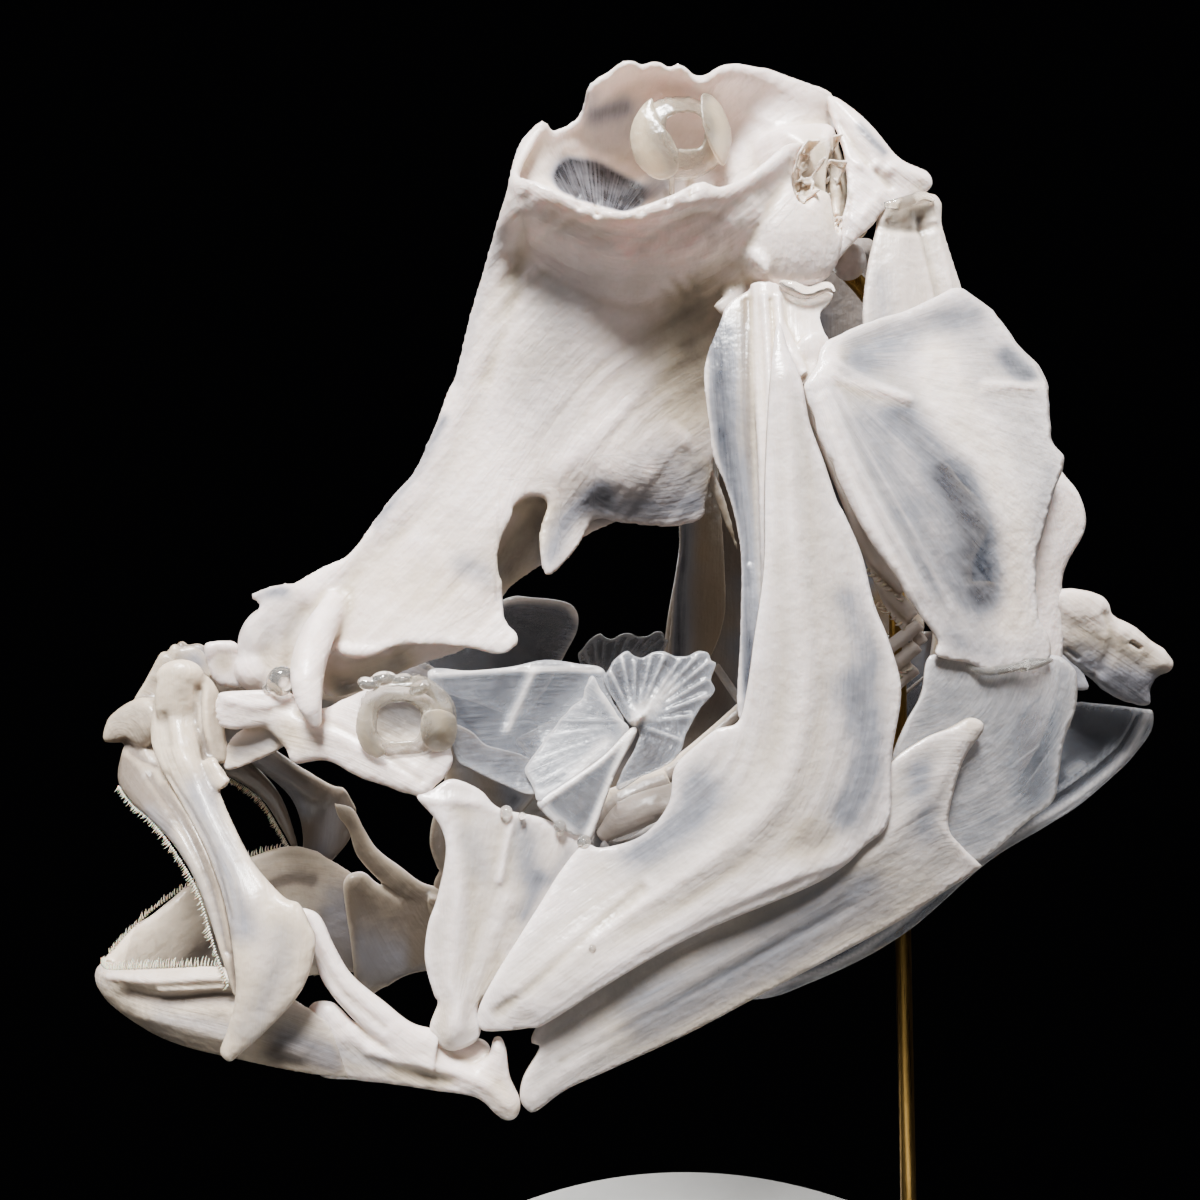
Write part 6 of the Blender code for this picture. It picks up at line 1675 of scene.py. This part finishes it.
# %% Tooth finish and rows
def tooth_finish():
    """Enamel on dentine: amber-clear and smooth, in soft bands of two tones"""
    made, tree, shader = new_finish("tooth_dentine_clear")
    place = add(tree, "ShaderNodeTexCoord", out="Object")
    bands = add(tree, "ShaderNodeTexNoise", None,
                {"Vector": place, "Scale": 1 / (1.5 * MM), "Detail": 2.0})
    tone = add(tree, "ShaderNodeMix", {"data_type": "RGBA"},
               {"Factor": bands, 6: hue("EFE7D8"), 7: hue("D9C3A0")}, out=2)
    fill(tree, shader, {"Base Color": tone, "Roughness": 0.22, "Subsurface Weight": 0.4,
                        "Subsurface Scale": 0.4 * MM, "Alpha": 0.9})
    return made


TOOTH = tooth_finish()


def spike_row(name, points, seed, **sizes):
    """A row of spikes along a line of (u, v, y), sizes in mm, aimed in the frame's axes"""
    line = sight(curve(points)) * MM
    mesh = bpy.data.meshes.new(name)
    mesh.from_pydata(line.tolist(), [(k, k + 1) for k in range(len(line) - 1)], [])
    row = linked(name, mesh)
    grow = row.modifiers.new("spikes", "NODES")
    grow.node_group = SPIKES
    keys = {item.name: item.identifier for item in SPIKES.interface.items_tree}
    for key in ("Spacing", "Length", "Root"):
        grow[keys[key]] = sizes[key] * MM
    for key in ("Hook", "Scatter"):
        grow[keys[key]] = sizes[key]
    grow[keys["Aim"]] = sizes["Aim"]
    grow[keys["Seed"]] = seed
    grow[keys["Finish"]] = TOOTH
    return settle(row)


def joined(name, parts):
    """Several objects made one"""
    mesh = bmesh.new()
    for part in parts:
        mesh.from_mesh(part.data)
        bpy.data.objects.remove(part, do_unlink=True)
    made = linked(name, bpy.data.meshes.new(name))
    mesh.to_mesh(made.data)
    mesh.free()
    made.data.shade_smooth()
    return made


UPPER_TEETH = [(119, 786, -6), (133, 805, -9.5), (151, 820, -12.5), (174, 850, -15.5),
               (198, 892, -18.5), (215, 949, -21), (228, 985, -22)]
LOWER_TEETH = [(102, 964, -1.5), (103, 966, -5.5), (110, 970, -10), (135, 969, -14),
               (180, 967, -18), (218, 966, -20)]
upper = [spike_row("upper_teeth", UPPER_TEETH, seed, Spacing=0.32, Length=0.85, Root=0.11,
                   Hook=0.3, Scatter=0.3, Aim=(-0.6, 0.1 + 0.25 * seed, -0.9))
         for seed in range(3)]
lower = [spike_row("lower_teeth", LOWER_TEETH, seed + 5, Spacing=0.42, Length=1.0, Root=0.12,
                   Hook=0.2, Scatter=0.22, Aim=(-0.05, 0.35 * seed, 1.0))
         for seed in range(2)]
rakers = [spike_row("gill_rakers", points, 11 + k, Spacing=0.9, Length=2.2, Root=0.28,
                    Hook=0.35, Scatter=0.2, Aim=(-0.9, -0.5, -0.15))
          for k, points in enumerate((
              [(858, 560, -9.4), (880, 580, -10.4), (902, 600, -11.6)],
              [(862, 590, -9.4), (884, 608, -10.4), (906, 628, -11.6)],
              [(760, 770, -9.2), (850, 718, -11.2), (912, 668, -12.4)]))]
for name, rows in (("upper_teeth", upper), ("lower_teeth", lower), ("gill_rakers", rakers)):
    row = joined(name + "_left", rows)
    other = mirrored(row, name + "_right")
    for piece in (row, other):
        hand_over(piece, TOOTH, "bone")
    print(name, len(row.data.polygons), "faces a side")

# %% [markdown]
# ## Clear glue
#
# Drops of clear resin hold the bones of the real mount together. They show as wet highlights
# and as lenses over the bone behind, so they are melted lumps of a clear, smooth resin. A
# painted gloss patch would have no rim and bend no light.


# %% Glue beads
def resin_finish():
    """Hardened clear glue: colourless, glossy, with a slow ripple in its skin"""
    made, tree, shader = new_finish("glue_resin_clear")
    place = add(tree, "ShaderNodeTexCoord", out="Object")
    swell = add(tree, "ShaderNodeTexNoise", None,
                {"Vector": place, "Scale": 1 / (1.2 * MM), "Detail": 2.0})
    skin = add(tree, "ShaderNodeBump", None,
               {"Height": swell, "Strength": 0.5, "Distance": 0.12 * MM})
    wet = add(tree, "ShaderNodeMapRange", None, {"Value": swell, 3: 0.02, 4: 0.09})
    fill(tree, shader, {"Normal": skin, "Roughness": wet, "Base Color": hue("FBF8F2"),
                        "IOR": 1.49, "Transmission Weight": 0.92})
    return made


RESIN = resin_finish()
GLUE = [
    ("snout", [lump(281, 681, -11.6, (1.7, 1.5, 1.9), lean=20),
               lump(272, 690, -10.6, (1.2, 1.2, 1.1))]),
    ("ring", [lump(u, v, y, (r * 1.3, r, r * 0.8), lean=a) for u, v, y, r, a in (
        (368, 684, -15.6, 1.0, 25), (384, 679, -15.4, 1.2, 0), (402, 680, -15.6, 1.0, -10),
        (420, 688, -15.6, 1.1, -25))]),
    ("cheek_head", [bar([(780, 283, -12.2, 0.5), (792, 288, -12.9, 0.9), (808, 293, -13.0, 0.8),
                         (826, 287, -12.4, 0.7), (834, 292, -12.0, 0.3)])]),
    ("gill_cover", [bar([(966, 666, -19.6, 0.3), (986, 671, -19.6, 0.7), (1010, 668, -18.9, 0.6),
                         (1032, 664, -17.9, 0.8), (1052, 660, -16.6, 0.3)])]),
    ("quadrate", [lump(u, v, y, (r, r, r)) for u, v, y, r in (
        (506, 812, -17.6, 0.8), (522, 816, -17.8, 0.5), (560, 826, -17.8, 0.8),
        (584, 842, -18.0, 0.9), (592, 948, -23.2, 0.6))]),
    ("shoulder", [bar([(884, 205, -11.6, 0.4), (902, 203, -12.0, 0.8), (922, 197, -11.6, 0.7),
                       (934, 200, -11.0, 0.3)])]),
]
for name, drops in GLUE:
    bead = melted("glue_" + name, drops, voxel=0.16, rounds=3)
    hand_over(bead, RESIN, "clear_bone")
print("glue:", len(GLUE), "places")

# %% [markdown]
# ## Stand
#
# The rod is a fine tube round the same line as its solid. Brass is a metal, so its colour is
# in its reflection, and a rod drawn through a die has fine scratches along its length. The
# wooden base keeps its solid and gets a lacquer with a slow ripple and a little dust.

# %% Brass rod
brass, brass_tree, brass_shader = new_finish("brass_rod_drawn")
place = add(brass_tree, "ShaderNodeTexCoord", out="Object")
drawn_lines = add(brass_tree, "ShaderNodeVectorMath", {"operation": "MULTIPLY"},
                  {0: place, 1: (1 / (0.15 * MM), 1 / (0.15 * MM), 1 / (6 * MM))})
scratches = add(brass_tree, "ShaderNodeTexNoise", None,
                {"Vector": drawn_lines, "Scale": 1.0, "Detail": 3.0})
tarnish = add(brass_tree, "ShaderNodeTexNoise", None,
              {"Vector": place, "Scale": 1 / (4 * MM), "Detail": 4.0})
tone = add(brass_tree, "ShaderNodeMix", {"data_type": "RGBA"},
           {"Factor": tarnish, 6: hue("C9A25A"), 7: hue("8A6B38")}, out=2)
dull = add(brass_tree, "ShaderNodeMapRange", None, {"Value": scratches, 3: 0.18, 4: 0.42})
fill(brass_tree, brass_shader, {"Base Color": tone, "Roughness": dull, "Metallic": 1.0})
ROD_SIDE, ROD_RADIUS, BASE_TOP, GAP = 3.2, 1.2, 12.0, 0.35
foot = sight((903, 935, ROD_SIDE))[0]
bend = sight((853, 274, ROD_SIDE))[0][2] - 12.0
rod_line = curve([
    (foot[0], ROD_SIDE, BASE_TOP + GAP), (foot[0], ROD_SIDE, (BASE_TOP + bend) / 2),
    (foot[0], ROD_SIDE, bend), (foot[0] - 0.8, ROD_SIDE, bend + 4.0),
    (foot[0] - 2.6, ROD_SIDE, bend + 7.5), (foot[0] - 4.6, ROD_SIDE, bend + 10.2),
    (foot[0] - 8.4, ROD_SIDE, bend + 14.0)], 8)
across = np.tile([0.0, 1.0, 0.0], (len(rod_line), 1))
rod = new_bone("brass_rod", *tube(rod_line, across * ROD_RADIUS,
                                  np.cross(directions(rod_line), across) * ROD_RADIUS, 32))
hand_over(rod, brass, "brass", "stand_rod")

# %% Lacquered base
lacquer, lacquer_tree, lacquer_shader = new_finish("wood_lacquered_black")
place = add(lacquer_tree, "ShaderNodeTexCoord", out="Object")
ripples = add(lacquer_tree, "ShaderNodeTexNoise", None,
              {"Vector": place, "Scale": 1 / (7 * MM), "Detail": 2.0})
dust = add(lacquer_tree, "ShaderNodeTexNoise", None,
           {"Vector": place, "Scale": 1 / (0.5 * MM), "Detail": 4.0})
tone = add(lacquer_tree, "ShaderNodeMix", {"data_type": "RGBA"},
           {"Factor": dust, 6: hue("121214"), 7: hue("232325")}, out=2)
sheen = add(lacquer_tree, "ShaderNodeMapRange", None, {"Value": dust, 3: 0.22, 4: 0.38})
orange_peel = add(lacquer_tree, "ShaderNodeBump", None,
                  {"Height": ripples, "Strength": 0.3, "Distance": 0.05 * MM})
fill(lacquer_tree, lacquer_shader, {"Base Color": tone, "Roughness": sheen,
                                    "Normal": orange_peel})
base = bpy.data.objects["stand_base"]
for slot in base.material_slots:
    slot.material = lacquer
print("stand dressed")

# %% [markdown]
# ## Camera, light and floor
#
# The camera is the drawing's own eye. A strong soft light stands above and in front, and weak
# ones stand all round, because thin bone shows its clearness only when light also comes
# through it. The room is dark, as in a showcase, and the floor is a pale round table top.

# %% Camera
lens = bpy.data.cameras.new("showcase_camera")
lens.sensor_width = 36.0
lens.lens = FOCAL / PICTURE_SIDE * lens.sensor_width
lens.clip_start = MM
camera = linked("showcase_camera", lens)
turn = Matrix([[RIGHT[k], UP[k], -FORWARD[k]] for k in range(3)]).to_4x4()
camera.matrix_world = Matrix.Translation(Vector(EYE * MM)) @ turn
bpy.context.scene.camera = camera


# %% Lights
SKULL_MIDDLE = Vector((0, 0, 0.14))


def soft_light(name, place, size, power):
    """A square soft light aimed at the middle of the skull"""
    lamp = bpy.data.lights.new(name, "AREA")
    lamp.size = size
    lamp.energy = power
    made = linked(name, lamp)
    made.location = place
    made.rotation_euler = (made.location - SKULL_MIDDLE).to_track_quat("Z", "Y").to_euler()


for lamp in (
    ("key", (-0.1, -0.32, 0.76), 0.2, 27.0), ("front", (-0.1, -0.7, 0.3), 0.4, 0.7),
    ("right", (0.6, -0.15, 0.3), 0.3, 1.2), ("left", (-0.6, -0.1, 0.35), 0.3, 0.9),
    ("behind", (0.1, 0.6, 0.3), 0.4, 2.0),
):
    soft_light(*lamp)
world = bpy.data.worlds.new("dark_room")
bpy.context.scene.world = world
world.use_nodes = True
fill(world.node_tree, world.node_tree.nodes["Background"],
     {"Color": hue("0C0C0E"), "Strength": 0.35})

# %% Floor
floor_finish, floor_tree, floor_shader = new_finish("painted_table_top")
place = add(floor_tree, "ShaderNodeTexCoord", out="Object")
speckle = add(floor_tree, "ShaderNodeTexNoise", None,
              {"Vector": place, "Scale": 1 / (3 * MM), "Detail": 3.0})
tone = add(floor_tree, "ShaderNodeMix", {"data_type": "RGBA"},
           {"Factor": speckle, 6: hue("D8D6D2"), 7: hue("E2E0DC")}, out=2)
fill(floor_tree, floor_shader, {"Base Color": tone, "Roughness": 0.7})
FLOOR_RADIUS = 76 * MM
disc = bmesh.new()
bmesh.ops.create_circle(disc, cap_ends=True, segments=128, radius=FLOOR_RADIUS)
floor_mesh = bpy.data.meshes.new("pale_floor")
disc.to_mesh(floor_mesh)
disc.free()
floor = linked("pale_floor", floor_mesh)
floor.data.materials.append(floor_finish)
